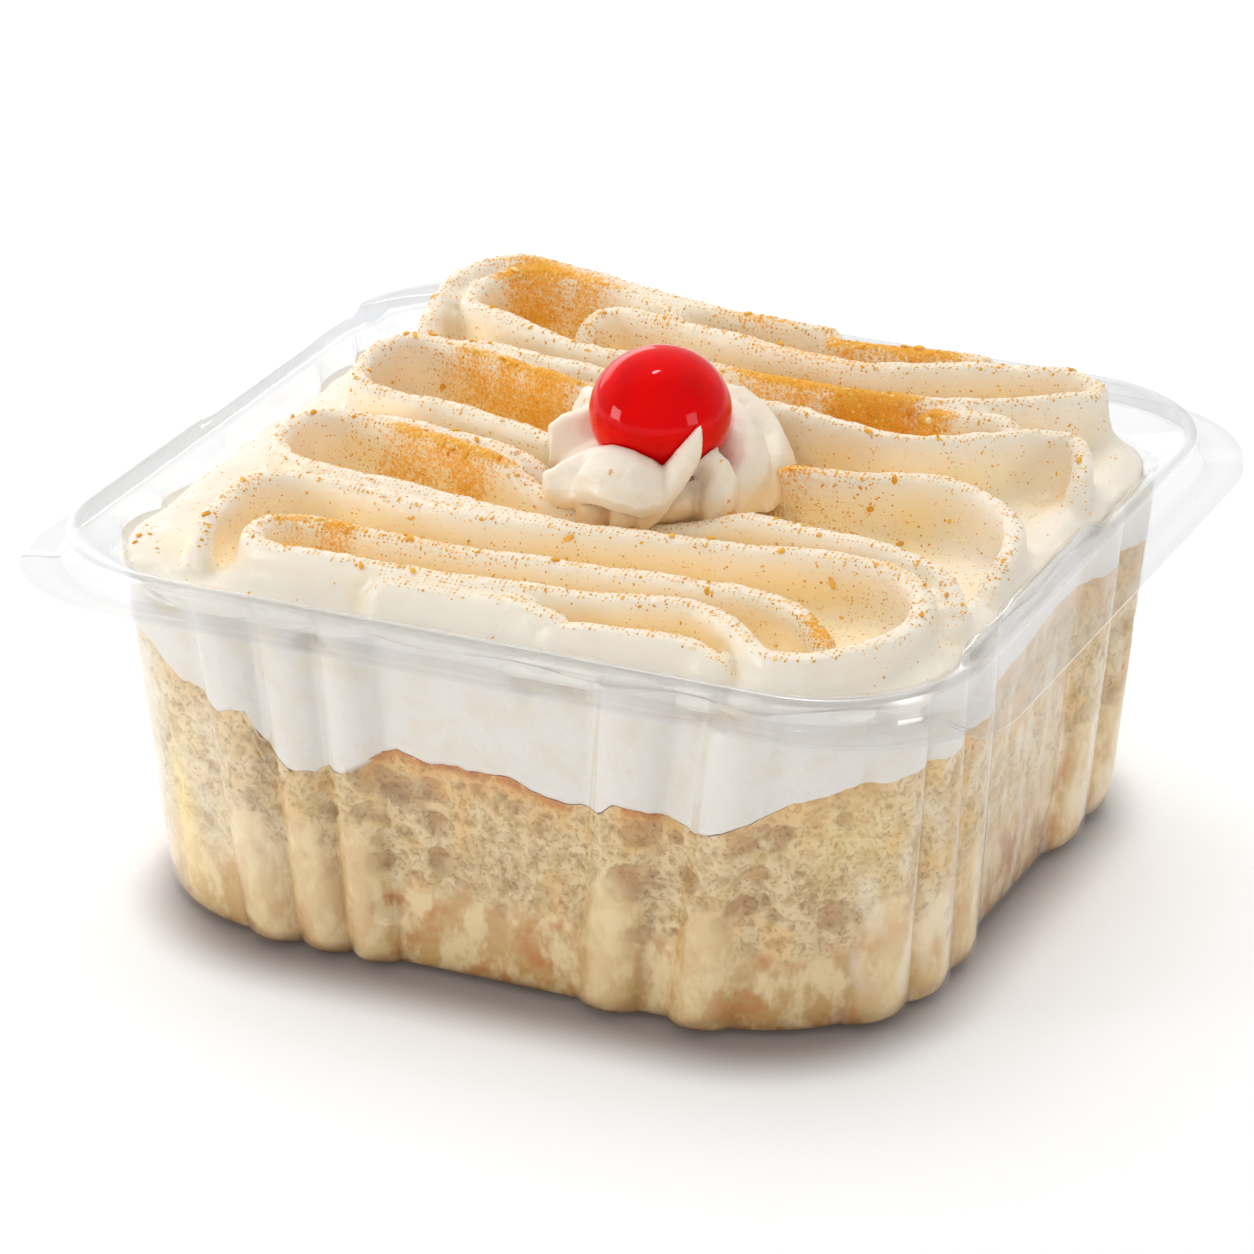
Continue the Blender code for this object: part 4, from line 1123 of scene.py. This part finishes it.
@dataclass
class Ribbon:
    """Cream ribbon piped on its edge, back and forth in standing folds."""

    form: TubForm = FORM
    valley_z: float = 47.4
    bed_low: float = 44.6
    voxel: float = 0.7
    spacing: float = 0.7
    end_length: float = 2.6
    plan_half: tuple[int, int] = (62, 56)
    ways: int = 24
    look: int = 12
    section: tuple = (
        (5.0, -0.3), (4.9, -0.05), (3.7, 0.04), (2.75, 0.13), (2.15, 0.28), (1.82, 0.48),
        (1.62, 0.72), (1.48, 0.87), (1.18, 0.95), (0.65, 0.99), (0.0, 1.0),
    )
    dust_spots: tuple = (
        (-32.7, -38.5, 4, 2.5, 0.6), (-26.3, -38.5, 4, 2.5, 0.8), (-14.5, -39.5, 16, 3, 0.4),
        (-43.6, -31.0, 5, 4, 0.3), (-38.5, -8.5, 4, 3, 0.5), (-31.0, -9.7, 7, 3, 0.9),
        (-25.5, -11.3, 6, 3, 0.85), (-28.0, 15.8, 6, 3, 0.95),
        (-19.5, -13.0, 8, 3, 0.9), (-45.5, 15.0, 5, 5, 0.3), (-34.0, 17.0, 8, 3, 0.9),
        (-21.5, 13.5, 8, 3, 1.0), (-37.0, 45.5, 7, 5, 1.05), (-29.5, 45.0, 6, 4, 0.8),
        (-16.3, 33.7, 9, 4, 0.9), (10.0, 26.3, 9, 3, 1.1), (22.5, 24.5, 8, 5, 1.5),
        (30.1, 23.5, 6, 4, 1.1), (13.5, 42.5, 8, 3, 0.85), (22.5, 43.2, 9, 3, 0.95),
        (-2.7, 42.7, 9, 3, 0.6), (28.5, -30.4, 9, 3, 0.5), (38.7, -32.0, 6, 5, 0.65),
        (43.6, -39.5, 4, 4, 0.85), (43.4, -24.1, 9, 5, 0.35), (20.5, -0.5, 8, 4, 0.7),
        (31.0, 0.0, 8, 4, 0.4), (9.1, -30.2, 14, 3, 0.4), (3.5, -21.1, 18, 3, 0.5),
        (48.3, -6.7, 5, 6, 0.2), (8.0, 33.5, 14, 3, 0.5),
    )
    heap: tuple[float, float, float, float] = (21.0, 22.5, 10.0, 3.5)
    seed: int = 21
    curves: dict = field(default_factory=dict)

    def route(self, fold: Fold) -> np.ndarray:
        """The fold's crest line, evenly spaced, with its small unevenness."""
        curve = smooth_curve(fold.value, 8)
        gaps = np.hypot(*np.diff(curve[:, :2], axis=0).T)
        way = np.concatenate([[0.0], np.cumsum(gaps)])
        even = np.linspace(0.0, way[-1], max(int(way[-1] / self.spacing), 8))
        line = np.column_stack([np.interp(even, way, curve[:, k]) for k in range(3)])
        key = float(list(Fold).index(fold))
        rows = np.column_stack([even, np.full(len(even), key * 7.0), np.zeros(len(even))])
        line[:, 2] += 0.35 * soft_noise(rows, 9.0, key) + 0.12 * soft_noise(rows, 2.6, key + 0.5)
        return line

    def sweep(self, fold: Fold) -> bpy.types.Object:
        """One pass of the ribbon: its section carried along the crest line."""
        line = self.route(fold)
        self.curves[fold] = line
        count = len(line)
        heading = np.gradient(line[:, :2], axis=0)
        heading /= np.linalg.norm(heading, axis=1)[:, None]
        side = np.column_stack([heading[:, 1], -heading[:, 0]])
        turn = np.gradient(np.unwrap(np.arctan2(heading[:, 1], heading[:, 0]))) / self.spacing
        turn = np.convolve(np.pad(turn, 3, mode="edge"), np.ones(7) / 7, mode="valid")
        way = np.arange(count) * self.spacing
        to_end = np.minimum(way, way[::-1])
        close = np.sqrt(np.clip(1.0 - (1.0 - np.clip(to_end / self.end_length, 0, 1)) ** 2, 0.0, 1.0))
        rows = np.column_stack([way, np.full(count, 3.0 * list(Fold).index(fold)), np.zeros(count)])
        wide = (1.0 + 0.16 * soft_noise(rows, 8.0, 9.0)) * np.maximum(close, 0.12)
        left = list(self.section)
        right = [(-u, h) for u, h in reversed(self.section[:-1])]
        rings = []
        for k in range(count):
            ring = []
            for u, h in left + right:
                reach = u * wide[k]
                limit = 0.85 / abs(turn[k]) if abs(turn[k]) > 1e-4 else 1e9
                if reach * turn[k] < 0:
                    reach = math.copysign(min(abs(reach), max(limit, 1.4)), reach)
                top = self.valley_z + (line[k, 2] - self.valley_z) * mix(0.35, 1.0, close[k])
                z = self.valley_z + h * (top - self.valley_z)
                if h < 0:
                    z = self.bed_low
                ring.append((line[k, 0] + side[k, 0] * reach, line[k, 1] + side[k, 1] * reach, z))
            rings.append(ring)
        piece = Bench.stack_of_rings(f"fold_{fold.name.lower()}", np.array(rings))
        Bench.order(piece)
        return piece

    def bed(self) -> bpy.types.Object:
        """Low slab of cream between and round the folds, uneven near the wall."""
        form = self.form
        places = form.places(100)
        half = form.room(np.array([form.top_z]))
        edge = form.outline(places, (half[0][0], half[1][0]), form.top_radius - 0.5, 0.0)
        rings = []
        for share, rise in ((0.3, 0.0), (0.9, 0.0), (0.997, 0.0), (1.0, 0.4)):
            rings.append(np.column_stack([edge * share, np.full(len(edge), self.bed_low + rise)]))
        for share in np.linspace(1.0, 0.0, 42)[:-1]:
            plan = edge * share
            flat = np.column_stack([plan, np.zeros(len(plan))])
            lumps = 0.9 * soft_noise(flat, 7.0, 10.0) + 0.5 * soft_noise(flat, 3.0, 11.0)
            rim = ramp(np.full(len(plan), share), 0.84, 0.93)
            level = mix(46.7, 48.6, ramp(np.abs(plan[:, 0]) - np.abs(plan[:, 1]), -2.0, 6.0))
            level = mix(level, 48.4, ramp(plan[:, 1], 20.0, 40.0))
            level = level - 1.6 * ramp(np.full(len(plan), share), 0.955, 1.0)
            z = mix(self.valley_z, level, rim) + lumps * mix(0.25, 1.0, rim)
            rings.append(np.column_stack([plan, z]))
        slab = Bench.stack_of_rings("bed", np.array(rings))
        Bench.order(slab)
        return slab

    def crest_near(self, rows: np.ndarray) -> np.ndarray:
        """Height of the crest line nearest in plan to each place, or the valley's if none is."""
        best = np.full(len(rows), 1e9)
        crest = np.full(len(rows), self.valley_z)
        for line in self.curves.values():
            low, high = line[:, :2].min(0) - 9.0, line[:, :2].max(0) + 9.0
            near = np.flatnonzero(((rows[:, :2] > low) & (rows[:, :2] < high)).all(1))
            for block in np.array_split(near, max(len(near) // 4000, 1)):
                gap = np.hypot(rows[block, None, 0] - line[None, :, 0],
                               rows[block, None, 1] - line[None, :, 1])
                pick = gap.argmin(1)
                short = gap[np.arange(len(block)), pick]
                nearer = short < best[block]
                best[block[nearer]] = short[nearer]
                crest[block[nearer]] = line[pick[nearer], 2]
        return crest

    def closed_in(self, rows: np.ndarray) -> np.ndarray:
        """Share of the ways out of each place that meet a crest line close by.

        Args:
            rows: places in millimetres.

        Returns:
            0 to 1 for each row; places outside the loops have about a half.
        """
        half_x, half_y = self.plan_half
        crests = np.zeros((2 * half_x, 2 * half_y), bool)
        for line in self.curves.values():
            cells = np.rint(line[:, :2]).astype(int) + (half_x, half_y)
            for shift in ((0, 0), (1, 0), (0, 1)):
                crests[cells[:, 0] + shift[0], cells[:, 1] + shift[1]] = True
        grid = np.stack(np.meshgrid(np.arange(2 * half_x), np.arange(2 * half_y), indexing="ij"), -1)
        met = np.zeros(crests.shape)
        for turn in np.arange(self.ways) * math.pi / (self.ways / 2):
            reached = np.zeros(crests.shape, bool)
            for step in range(1, self.look + 1):
                cells = np.rint(grid + np.array((math.cos(turn), math.sin(turn))) * step).astype(int)
                cells = np.clip(cells, 0, (2 * half_x - 1, 2 * half_y - 1))
                reached |= crests[cells[..., 0], cells[..., 1]]
            met += reached / self.ways
        soft = np.pad(met, 1, mode="edge")
        soft = sum(soft[a:a + met.shape[0], b:b + met.shape[1]] for a in range(3) for b in range(3)) / 9
        place = np.clip(rows[:, :2] + (half_x, half_y), 0, (2 * half_x - 2, 2 * half_y - 2))
        cell = place.astype(int)
        (x, y), (u, v) = cell.T, (place - cell).T
        low = soft[x, y] * (1 - u) + soft[x + 1, y] * u
        high = soft[x, y + 1] * (1 - u) + soft[x + 1, y + 1] * u
        return low * (1 - v) + high * v

    def dust(self, rows: np.ndarray, depth: np.ndarray, up: np.ndarray, kept: np.ndarray) -> np.ndarray:
        """How much cinnamon lies at each place; kept thins the even sprinkling alone."""
        amount = 0.16 * kept
        for x, y, wide, tall, share in self.dust_spots:
            far = ((rows[:, 0] - x) / wide) ** 2 + ((rows[:, 1] - y) / tall) ** 2
            amount = np.maximum(amount, share * np.exp(-far ** 1.3))
        cloud = 0.95 + 0.25 * soft_noise(rows, 5.0, 12.0)
        amount = amount * cloud + 0.3 * kept * ramp(-depth, -1.2, -0.2) * ramp(up, 0.5, 0.9)
        front = ramp(-rows[:, 1], 43.5, 46.5)
        bare = ramp(-up, -0.75, -0.35) * front
        return np.clip(amount * (1.0 - 0.93 * bare), 0.0, 1.3)

    def paint(self, ribbon: bpy.types.Object, rows: np.ndarray, crest: np.ndarray, depth: np.ndarray,
              up: np.ndarray) -> None:
        """Paints the warm shade in the valleys, strongest low down where crests close round, and the cinnamon
        that lies on it.

        Args:
            ribbon: the piece, still in millimetres.
            rows: its vertex places.
            crest: height of the crest nearest to each vertex.
            depth: how far each vertex lay below that crest before the relief.
            up: how far each vertex faces upwards.
        """
        # Painted shade: deep is warm valley shade, strongest low down, where crests close round and away from
        # the tub's ends.
        share = np.clip((rows[:, 2] - self.valley_z) / np.maximum(crest - self.valley_z, 1.0), 0.0, 1.0)
        half_x, half_y = self.form.room(rows[:, 2])
        gap = np.minimum(half_x - np.abs(rows[:, 0]), half_y - np.abs(rows[:, 1]))
        inside = np.maximum(ramp(self.closed_in(rows), 0.5, 0.76), ramp(gap, 6.0, 17.0))
        low = mix(0.15, 1.0, ramp(-share, -0.98, -0.3))
        ends = 1.0 - 0.5 * ramp(np.abs(rows[:, 0]), 36.0, 48.0)
        mottle = 0.85 + 0.35 * soft_noise(rows, 7.0, 23.0)
        Bench.paint(ribbon, "deep", np.clip(low * inside * ends * mottle, 0.0, 1.0))
        kept = np.maximum(mix(0.25, 1.0, inside), 0.9 * ramp(share, 0.85, 0.97)) * ramp(gap, 0.8, 3.5)
        Bench.paint(ribbon, "dust", self.dust(rows, depth, up, kept))

    def build(self) -> bpy.types.Object:
        """Joins the passes and the bed, remeshes them as one and works its surface."""
        pieces = [self.bed()] + [self.sweep(fold) for fold in Fold]
        ribbon = Bench.join(pieces, "cream_ribbon_piped")
        Bench.apply(ribbon, "REMESH", mode="VOXEL", voxel_size=self.voxel)
        Bench.apply(ribbon, "SMOOTH", factor=0.5, iterations=1)
        rows, normals = Bench.rows(ribbon), Bench.normals(ribbon)
        crest = self.crest_near(rows)
        depth = np.maximum(crest - rows[:, 2], 0.0)
        on_top = ramp(-depth, -1.6, -0.3) * ramp(normals[:, 2], 0.3, 0.8)
        relief = 0.16 * soft_noise(rows, 3.2, 13.0) + 0.07 * soft_noise(rows, 1.2, 14.0)
        relief += on_top * 0.16 * soft_noise(rows, 0.8, 15.0)
        x, y, wide, tall = self.heap
        heap = np.exp(-(((rows[:, 0] - x) / wide) ** 2 + ((rows[:, 1] - y) / tall) ** 2) ** 1.5)
        relief += heap * (1.0 + 1.5 * soft_noise(rows, 1.1, 16.0))
        rows = self.form.keep_inside(rows + normals * relief[:, None])
        Bench.move(ribbon, rows)
        self.paint(ribbon, rows, crest, depth, normals[:, 2])
        return ribbon

    def dress(self, ribbon: bpy.types.Object) -> bpy.types.Object:
        """Gives the ribbon its finish."""
        return Bench.finish(ribbon, PipedCream(), ["cream_ribbon"])


@dataclass
class CinnamonDust:
    """Loose cinnamon flakes and crumbs lying on the ribbon."""

    fine: int = 22000
    coarse: int = 12000
    chunks: int = 240
    seed: int = 33

    @staticmethod
    def grain_shape(plain: bool) -> tuple[np.ndarray, np.ndarray]:
        """Corners and triangles of a grain: a low five-sided flake if plain, else a crumb."""
        Bench.clear_selection()
        if plain:
            bpy.ops.mesh.primitive_cone_add(vertices=5, radius1=1.0, depth=1.0)
        else:
            bpy.ops.mesh.primitive_ico_sphere_add(subdivisions=1, radius=1.0)
        start = bpy.context.active_object
        shape = Bench.rows(start)
        faces = []
        for corners in (face.vertices[:] for face in start.data.polygons):
            faces += [(corners[0], *pair) for pair in zip(corners[1:], corners[2:])]
        bpy.data.objects.remove(start)
        return shape, np.array(faces)

    def scatter(self, name: str, count: int, sizes: tuple[float, float], ribbon: bpy.types.Object,
                seed: int) -> bpy.types.Object:
        """Grains of one size range as one piece, each lying flat on the cream.

        Args:
            name: the piece's name.
            count: how many grains.
            sizes: smallest and largest radius in millimetres.
            ribbon: the cream that they lie on, still in millimetres, with its dust painted.
            seed: the draw's seed.

        Returns:
            The piece in millimetres.
        """
        draw = np.random.default_rng(seed)
        rows, normals = Bench.rows(ribbon), Bench.normals(ribbon)
        dust = np.empty(len(rows), np.float32)
        ribbon.data.attributes["dust"].data.foreach_get("value", dust)
        steep = np.clip(normals[:, 2], 0.0, 1.0)
        weight = np.clip(dust, 0.0, 1.3).astype(float) ** 1.3 * mix(0.45, 1.0, steep) * (normals[:, 2] > -0.2)
        picked = draw.choice(len(rows), count, p=weight / weight.sum())
        shape, faces = self.grain_shape(sizes[1] < 0.35)
        up = normals[picked]
        along = np.cross(up, draw.normal(0.0, 1.0, (count, 3)))
        along /= np.linalg.norm(along, axis=1)[:, None]
        across = np.cross(up, along)
        size = sizes[0] + (sizes[1] - sizes[0]) * draw.random(count) ** 1.8
        stretch = draw.uniform(0.55, 1.0, (count, 1, 3)) * (1.7, 1.05, 0.75)
        parts = shape[None] * draw.uniform(0.7, 1.2, (count, len(shape), 1)) * stretch * size[:, None, None]
        centre = rows[picked] + up * size[:, None] * 0.15
        grains = centre[:, None] + (parts[..., :1] * along[:, None] + parts[..., 1:2] * across[:, None]
                                    + parts[..., 2:] * up[:, None])
        order = faces[None] + (np.arange(count) * len(shape))[:, None, None]
        mesh = bpy.data.meshes.new(name)
        mesh.from_pydata(grains.reshape(-1, 3).tolist(), [], order.reshape(-1, 3).tolist())
        piece = bpy.data.objects.new(name, mesh)
        bpy.context.scene.collection.objects.link(piece)
        Bench.paint(piece, "tone", np.repeat(draw.random(count), len(shape)))
        return piece

    def build(self, ribbon: bpy.types.Object) -> list[bpy.types.Object]:
        """Powder grains, coarse grains and crumbs, one piece for each kind."""
        kinds = (("cinnamon_powder", self.fine, (0.08, 0.2)), ("cinnamon_grains", self.coarse, (0.15, 0.3)),
                 ("cinnamon_crumbs", self.chunks, (0.3, 0.6)))
        made = []
        for offset, (name, count, sizes) in enumerate(kinds):
            made.append(self.scatter(name, count, sizes, ribbon, self.seed + offset))
        return made


@dataclass(frozen=True)
class Petal:
    """A petal's ridge from the middle out, how far its flanks reach and fall, and its tip's share."""

    ridge: tuple
    left: float
    right: float
    fall: float
    tip: float


@dataclass
class Rosette:
    """Star-tip swirl of whiter cream whose petals lap the cherry."""

    dome_middle: tuple[float, float, float] = (3.6, -4.4, 53.4)
    dome_half: tuple[float, float, float] = (13.0, 13.0, 5.6)
    cherry: tuple[float, float, float] = CHERRY_MIDDLE
    low_z: float = 51.0
    voxel: float = 0.3
    petals: tuple[Petal, ...] = (
        Petal(((-1.0, -3.0, 60.5), (-4.1, -2.8, 62.0), (-6.6, -5.0, 61.4), (-8.6, -6.6, 60.6),
               (-10.3, -7.6, 59.4)), 2.6, 4.0, 6.0, 0.75),
        Petal(((-1.5, -3.3, 61.0), (-4.4, -2.8, 62.8), (-6.6, -1.2, 63.2), (-8.3, 1.0, 62.4)),
              3.4, 2.6, 7.0, 0.45),
        Petal(((-2.0, 4.0, 57.0), (-4.0, 8.0, 60.0), (-5.5, 11.0, 60.0)), 4.2, 4.2, 5.5, 0.4),
        Petal(((3.0, 4.0, 58.0), (4.0, 9.0, 61.5), (5.0, 13.2, 62.0)), 4.8, 4.8, 6.0, 0.4),
        Petal(((3.9, 10.4, 61.4), (9.4, 10.6, 61.6), (13.6, 9.4, 59.8), (16.6, 6.6, 57.6),
               (17.7, 1.3, 55.9), (18.3, -5.0, 53.6)), 3.0, 7.5, 5.5, 0.5),
        Petal(((11.6, 4.6, 62.6), (13.6, 1.4, 62.4), (15.4, -1.4, 60.8), (16.3, -4.4, 58.2),
               (15.9, -9.0, 54.6)), 3.2, 6.5, 6.0, 0.55),
        Petal(((13.6, -9.6, 62.0), (14.9, -11.0, 60.4), (14.9, -11.9, 57.8), (14.0, -12.8, 54.6)),
              3.4, 4.6, 5.5, 0.8),
        Petal(((6.6, -15.4, 53.2), (8.6, -16.3, 57.4), (10.6, -15.8, 60.8), (12.5, -14.9, 63.6),
               (14.3, -13.1, 65.8)), 2.6, 3.2, 4.4, 0.1),
        Petal(((11.0, -15.4, 59.4), (8.6, -16.4, 61.0), (5.0, -16.9, 62.6), (0.8, -15.2, 61.4),
               (-2.6, -16.0, 59.4), (-6.3, -17.9, 57.0)), 5.4, 2.4, 5.2, 0.3),
        Petal(((3.0, -14.6, 59.6), (1.8, -16.2, 58.6), (1.0, -17.7, 56.4), (0.2, -19.6, 54.0)),
              2.6, 2.6, 4.5, 0.25),
        Petal(((6.6, -15.6, 59.6), (6.0, -17.0, 59.0), (4.8, -17.9, 56.8), (3.7, -18.3, 54.2)),
              2.8, 2.4, 4.5, 0.3),
    )
    flank: tuple = ((0.15, 0.03), (0.4, 0.12), (0.68, 0.3), (0.9, 0.6), (1.0, 1.0), (0.8, 1.4))
    keel: float = 1.55
    cup_radius: float = 9.7

    def petal(self, number: int, petal: Petal) -> bpy.types.Object:
        """One piped petal: a sharp ridge with a hollowed flank down each side."""
        line = smooth_curve(petal.ridge, 7)
        heading = np.gradient(line[:, :2], axis=0)
        heading /= np.linalg.norm(heading, axis=1)[:, None]
        side = np.column_stack([heading[:, 1], -heading[:, 0]])
        section = [(0.0, 0.0)] + [(u * petal.right, d) for u, d in self.flank] + [(0.0, self.keel)]
        section += [(-u * petal.left, d) for u, d in reversed(self.flank)]
        rings = []
        for k, place in enumerate(line):
            share = k / (len(line) - 1)
            tip = math.sqrt(max(1.0 - (max(share - 0.45, 0.0) / 0.56) ** 2, 0.0))
            size = mix(petal.tip, 1.0, tip) * math.sqrt(min(1.0, 0.25 + 3.0 * share))
            ring = []
            for u, drop in section:
                sway = 1.0 + 0.14 * math.sin(2.3 * number + 5.0 * share + (1.5 if u > 0 else 0.0))
                ring.append((place[0] + side[k, 0] * u * size * sway, place[1] + side[k, 1] * u * size * sway,
                             place[2] - drop * petal.fall * size))
            rings.append(ring)
        piece = Bench.stack_of_rings(f"petal_{number}", np.array(rings))
        Bench.order(piece)
        return piece

    def body(self) -> bpy.types.Object:
        """Low dome that the petals lie on."""
        Bench.clear_selection()
        bpy.ops.mesh.primitive_uv_sphere_add(segments=48, ring_count=24, radius=1.0)
        dome = bpy.context.active_object
        Bench.move(dome, Bench.rows(dome) * self.dome_half + self.dome_middle)
        return dome

    def build(self) -> bpy.types.Object:
        """Joins the petals, remeshes them as one and presses the cherry's cup in."""
        pieces = [self.body()]
        pieces += [self.petal(number, petal) for number, petal in enumerate(self.petals)]
        rosette = Bench.join(pieces, "rosette_whipped")
        Bench.apply(rosette, "REMESH", mode="VOXEL", voxel_size=self.voxel)
        Bench.apply(rosette, "SMOOTH", factor=0.5, iterations=2)
        rows = Bench.rows(rosette)
        normals = Bench.normals(rosette)
        relief = 0.12 * soft_noise(rows, 1.5, 17.0) + 0.3 * soft_noise(rows, 4.0, 18.0)
        rows = rows + normals * relief[:, None]
        middle = np.array(self.cherry)
        gap = rows - middle
        far = np.linalg.norm(gap, axis=1)
        inside = (far < self.cup_radius) & (rows[:, 2] < self.cherry[2])
        rows[inside] = middle + gap[inside] / far[inside][:, None] * self.cup_radius
        rows[:, 2] = np.maximum(rows[:, 2], self.low_z)
        Bench.move(rosette, rows)
        # Painted shade: marks the lower part of the rosette for its warmer, darker colour.
        Bench.paint(rosette, "deep", ramp(-rows[:, 2], -57.0, -52.5))
        return Bench.finish(rosette, RosetteCream(), ["rosette"])


@dataclass
class Cherry:
    """Candied cherry without a stem."""

    centre: tuple[float, float, float] = CHERRY_MIDDLE
    radius: float = 9.45
    squash: float = 0.93

    def build(self) -> bpy.types.Object:
        """A sphere, a little flattened and uneven."""
        Bench.clear_selection()
        bpy.ops.mesh.primitive_uv_sphere_add(segments=96, ring_count=64, radius=1.0)
        cherry = bpy.context.active_object
        cherry.name = cherry.data.name = "candied_cherry"
        rows = Bench.rows(cherry)
        swell = 1.0 + 0.008 * soft_noise(rows, 0.9, 19.0)
        rows = rows * swell[:, None] * self.radius * (1.0, 1.0, self.squash)
        Bench.move(cherry, rows + self.centre)
        return Bench.finish(cherry, CherrySkin(), ["cherry"])


def aim(thing: bpy.types.Object, place: Sequence[float], target: Sequence[float]) -> None:
    """Puts a lamp or camera in the scene at a place, turned to a target, both in metres."""
    bpy.context.scene.collection.objects.link(thing)
    thing.location = place
    thing.rotation_euler = (Vector(target) - Vector(place)).to_track_quat("-Z", "Y").to_euler()


@dataclass(frozen=True)
class Lamp:
    """A soft box aimed at the cake.

    Args:
        name: the lamp's name.
        place: where it stands, in metres.
        size: its width and height in metres.
        power: its power in watts.
        colour: its colour.
        mirrored: False keeps it out of the glossy pieces' reflections.
        lights: False leaves its reflection alone.
    """

    name: str
    place: tuple[float, float, float]
    size: tuple[float, float]
    power: float
    colour: Colour = (1.0, 1.0, 1.0)
    mirrored: bool = True
    lights: bool = True

    def build(self) -> None:
        """Makes the lamp and turns it to the cake."""
        data = bpy.data.lights.new(self.name, "AREA")
        data.shape = "RECTANGLE"
        data.size, data.size_y = self.size
        data.energy = self.power
        data.color = self.colour
        lamp = bpy.data.objects.new(self.name, data)
        lamp.visible_glossy = self.mirrored
        lamp.visible_diffuse = self.lights
        aim(lamp, self.place, (0.0, 0.0, 0.04))


@dataclass
class Studio:
    """Pale floor, soft lights and the camera at the photo's angle."""

    eye: tuple[float, float, float] = (0.30498, -0.67347, 0.36045)
    target: tuple[float, float, float] = (-0.0019, -0.00084, 0.02975)
    lens: float = 171.7
    sensor: float = 36.0
    floor_size: float = 8.0
    sky_front: float = 0.12
    sky_back: float = 0.78
    mirrored_front: float = 0.4
    mirrored_back: float = 0.62
    backdrop: float = 1.0
    lamps: tuple[Lamp, ...] = (
        Lamp("key_softbox", (-0.24, 0.42, 1.0), (1.2, 0.95), 6.8, (1.0, 0.985, 0.96), mirrored=False),
        Lamp("spark", (-0.13, 0.11, 1.0), (0.16, 0.05), 1.4, lights=False),
        Lamp("back_card", (-0.85, 0.75, 0.28), (0.9, 0.35), 1.8),
        Lamp("left_card", (-0.80, -0.62, 0.16), (0.35, 0.28), 3.2),
        Lamp("right_card", (0.92, -0.25, 0.18), (0.3, 0.3), 1.3),
        Lamp("front_card", (0.30, -0.90, 0.55), (0.7, 0.5), 2.6, mirrored=False),
    )

    def floor(self) -> None:
        """A wide floor under the tub."""
        Bench.clear_selection()
        bpy.ops.mesh.primitive_grid_add(x_subdivisions=8, y_subdivisions=8, size=self.floor_size,
                                        location=(0.0, 0.0, -0.0002))
        floor = bpy.context.active_object
        floor.name = "studio_floor"
        floor.data.materials.append(StudioFloor().material())

    def surroundings(self) -> None:
        """White room behind and above the cake, dark behind the camera, with a white backdrop."""
        world = bpy.data.worlds.new("studio")
        world.use_nodes = True
        nodes, links = world.node_tree.nodes, world.node_tree.links
        way = nodes.new("ShaderNodeTexCoord")
        seen = nodes.new("ShaderNodeLightPath")
        shades = []
        for bright_way, start, end, low, high in (
                ((-0.27, 0.58, 0.77), -0.2, 0.95, self.sky_front, self.sky_back),
                ((-0.41, 0.90, 0.15), -0.15, 0.3, self.mirrored_front, self.mirrored_back)):
            facing = nodes.new("ShaderNodeVectorMath")
            facing.operation = "DOT_PRODUCT"
            facing.inputs[1].default_value = bright_way
            links.new(way.outputs["Generated"], facing.inputs[0])
            level = nodes.new("ShaderNodeMapRange")
            level.interpolation_type = "SMOOTHSTEP"
            for name, number in (("From Min", start), ("From Max", end), ("To Min", low), ("To Max", high)):
                level.inputs[name].default_value = number
            links.new(facing.outputs["Value"], level.inputs["Value"])
            shade = nodes.new("ShaderNodeBackground")
            links.new(level.outputs["Result"], shade.inputs["Strength"])
            shades.append(shade)
        plain = nodes["Background"]
        plain.inputs["Strength"].default_value = self.backdrop
        for shade in (*shades, plain):
            shade.inputs["Color"].default_value = (1.0, 1.0, 1.0, 1.0)
        lit = nodes.new("ShaderNodeMixShader")
        links.new(seen.outputs["Is Glossy Ray"], lit.inputs[0])
        links.new(shades[0].outputs["Background"], lit.inputs[1])
        links.new(shades[1].outputs["Background"], lit.inputs[2])
        either = nodes.new("ShaderNodeMixShader")
        links.new(seen.outputs["Is Camera Ray"], either.inputs[0])
        links.new(lit.outputs["Shader"], either.inputs[1])
        links.new(plain.outputs["Background"], either.inputs[2])
        links.new(either.outputs["Shader"], nodes["World Output"].inputs["Surface"])
        bpy.context.scene.world = world

    def build(self) -> None:
        """Sets the floor, lights, sky and camera."""
        self.floor()
        for lamp in self.lamps:
            lamp.build()
        self.surroundings()
        bpy.context.scene.view_settings.view_transform = "Standard"
        data = bpy.data.cameras.new("photo_camera")
        data.lens, data.sensor_width = self.lens, self.sensor
        camera = bpy.data.objects.new("photo_camera", data)
        aim(camera, self.eye, self.target)
        bpy.context.scene.camera = camera


def main() -> None:
    """Builds every piece in order."""
    logging.basicConfig(level=logging.INFO, format="%(name)s %(relativeCreated)d %(message)s")
    Studio().build()
    Tub().build()
    Sponge().build()
    CreamLayer().build()
    piping = Ribbon()
    ribbon = piping.build()
    grains = CinnamonDust().build(ribbon)
    piping.dress(ribbon)
    for piece in grains:
        Bench.finish(piece, CinnamonGrain())
    Rosette().build()
    Cherry().build()


if __name__ == "__main__":
    main()
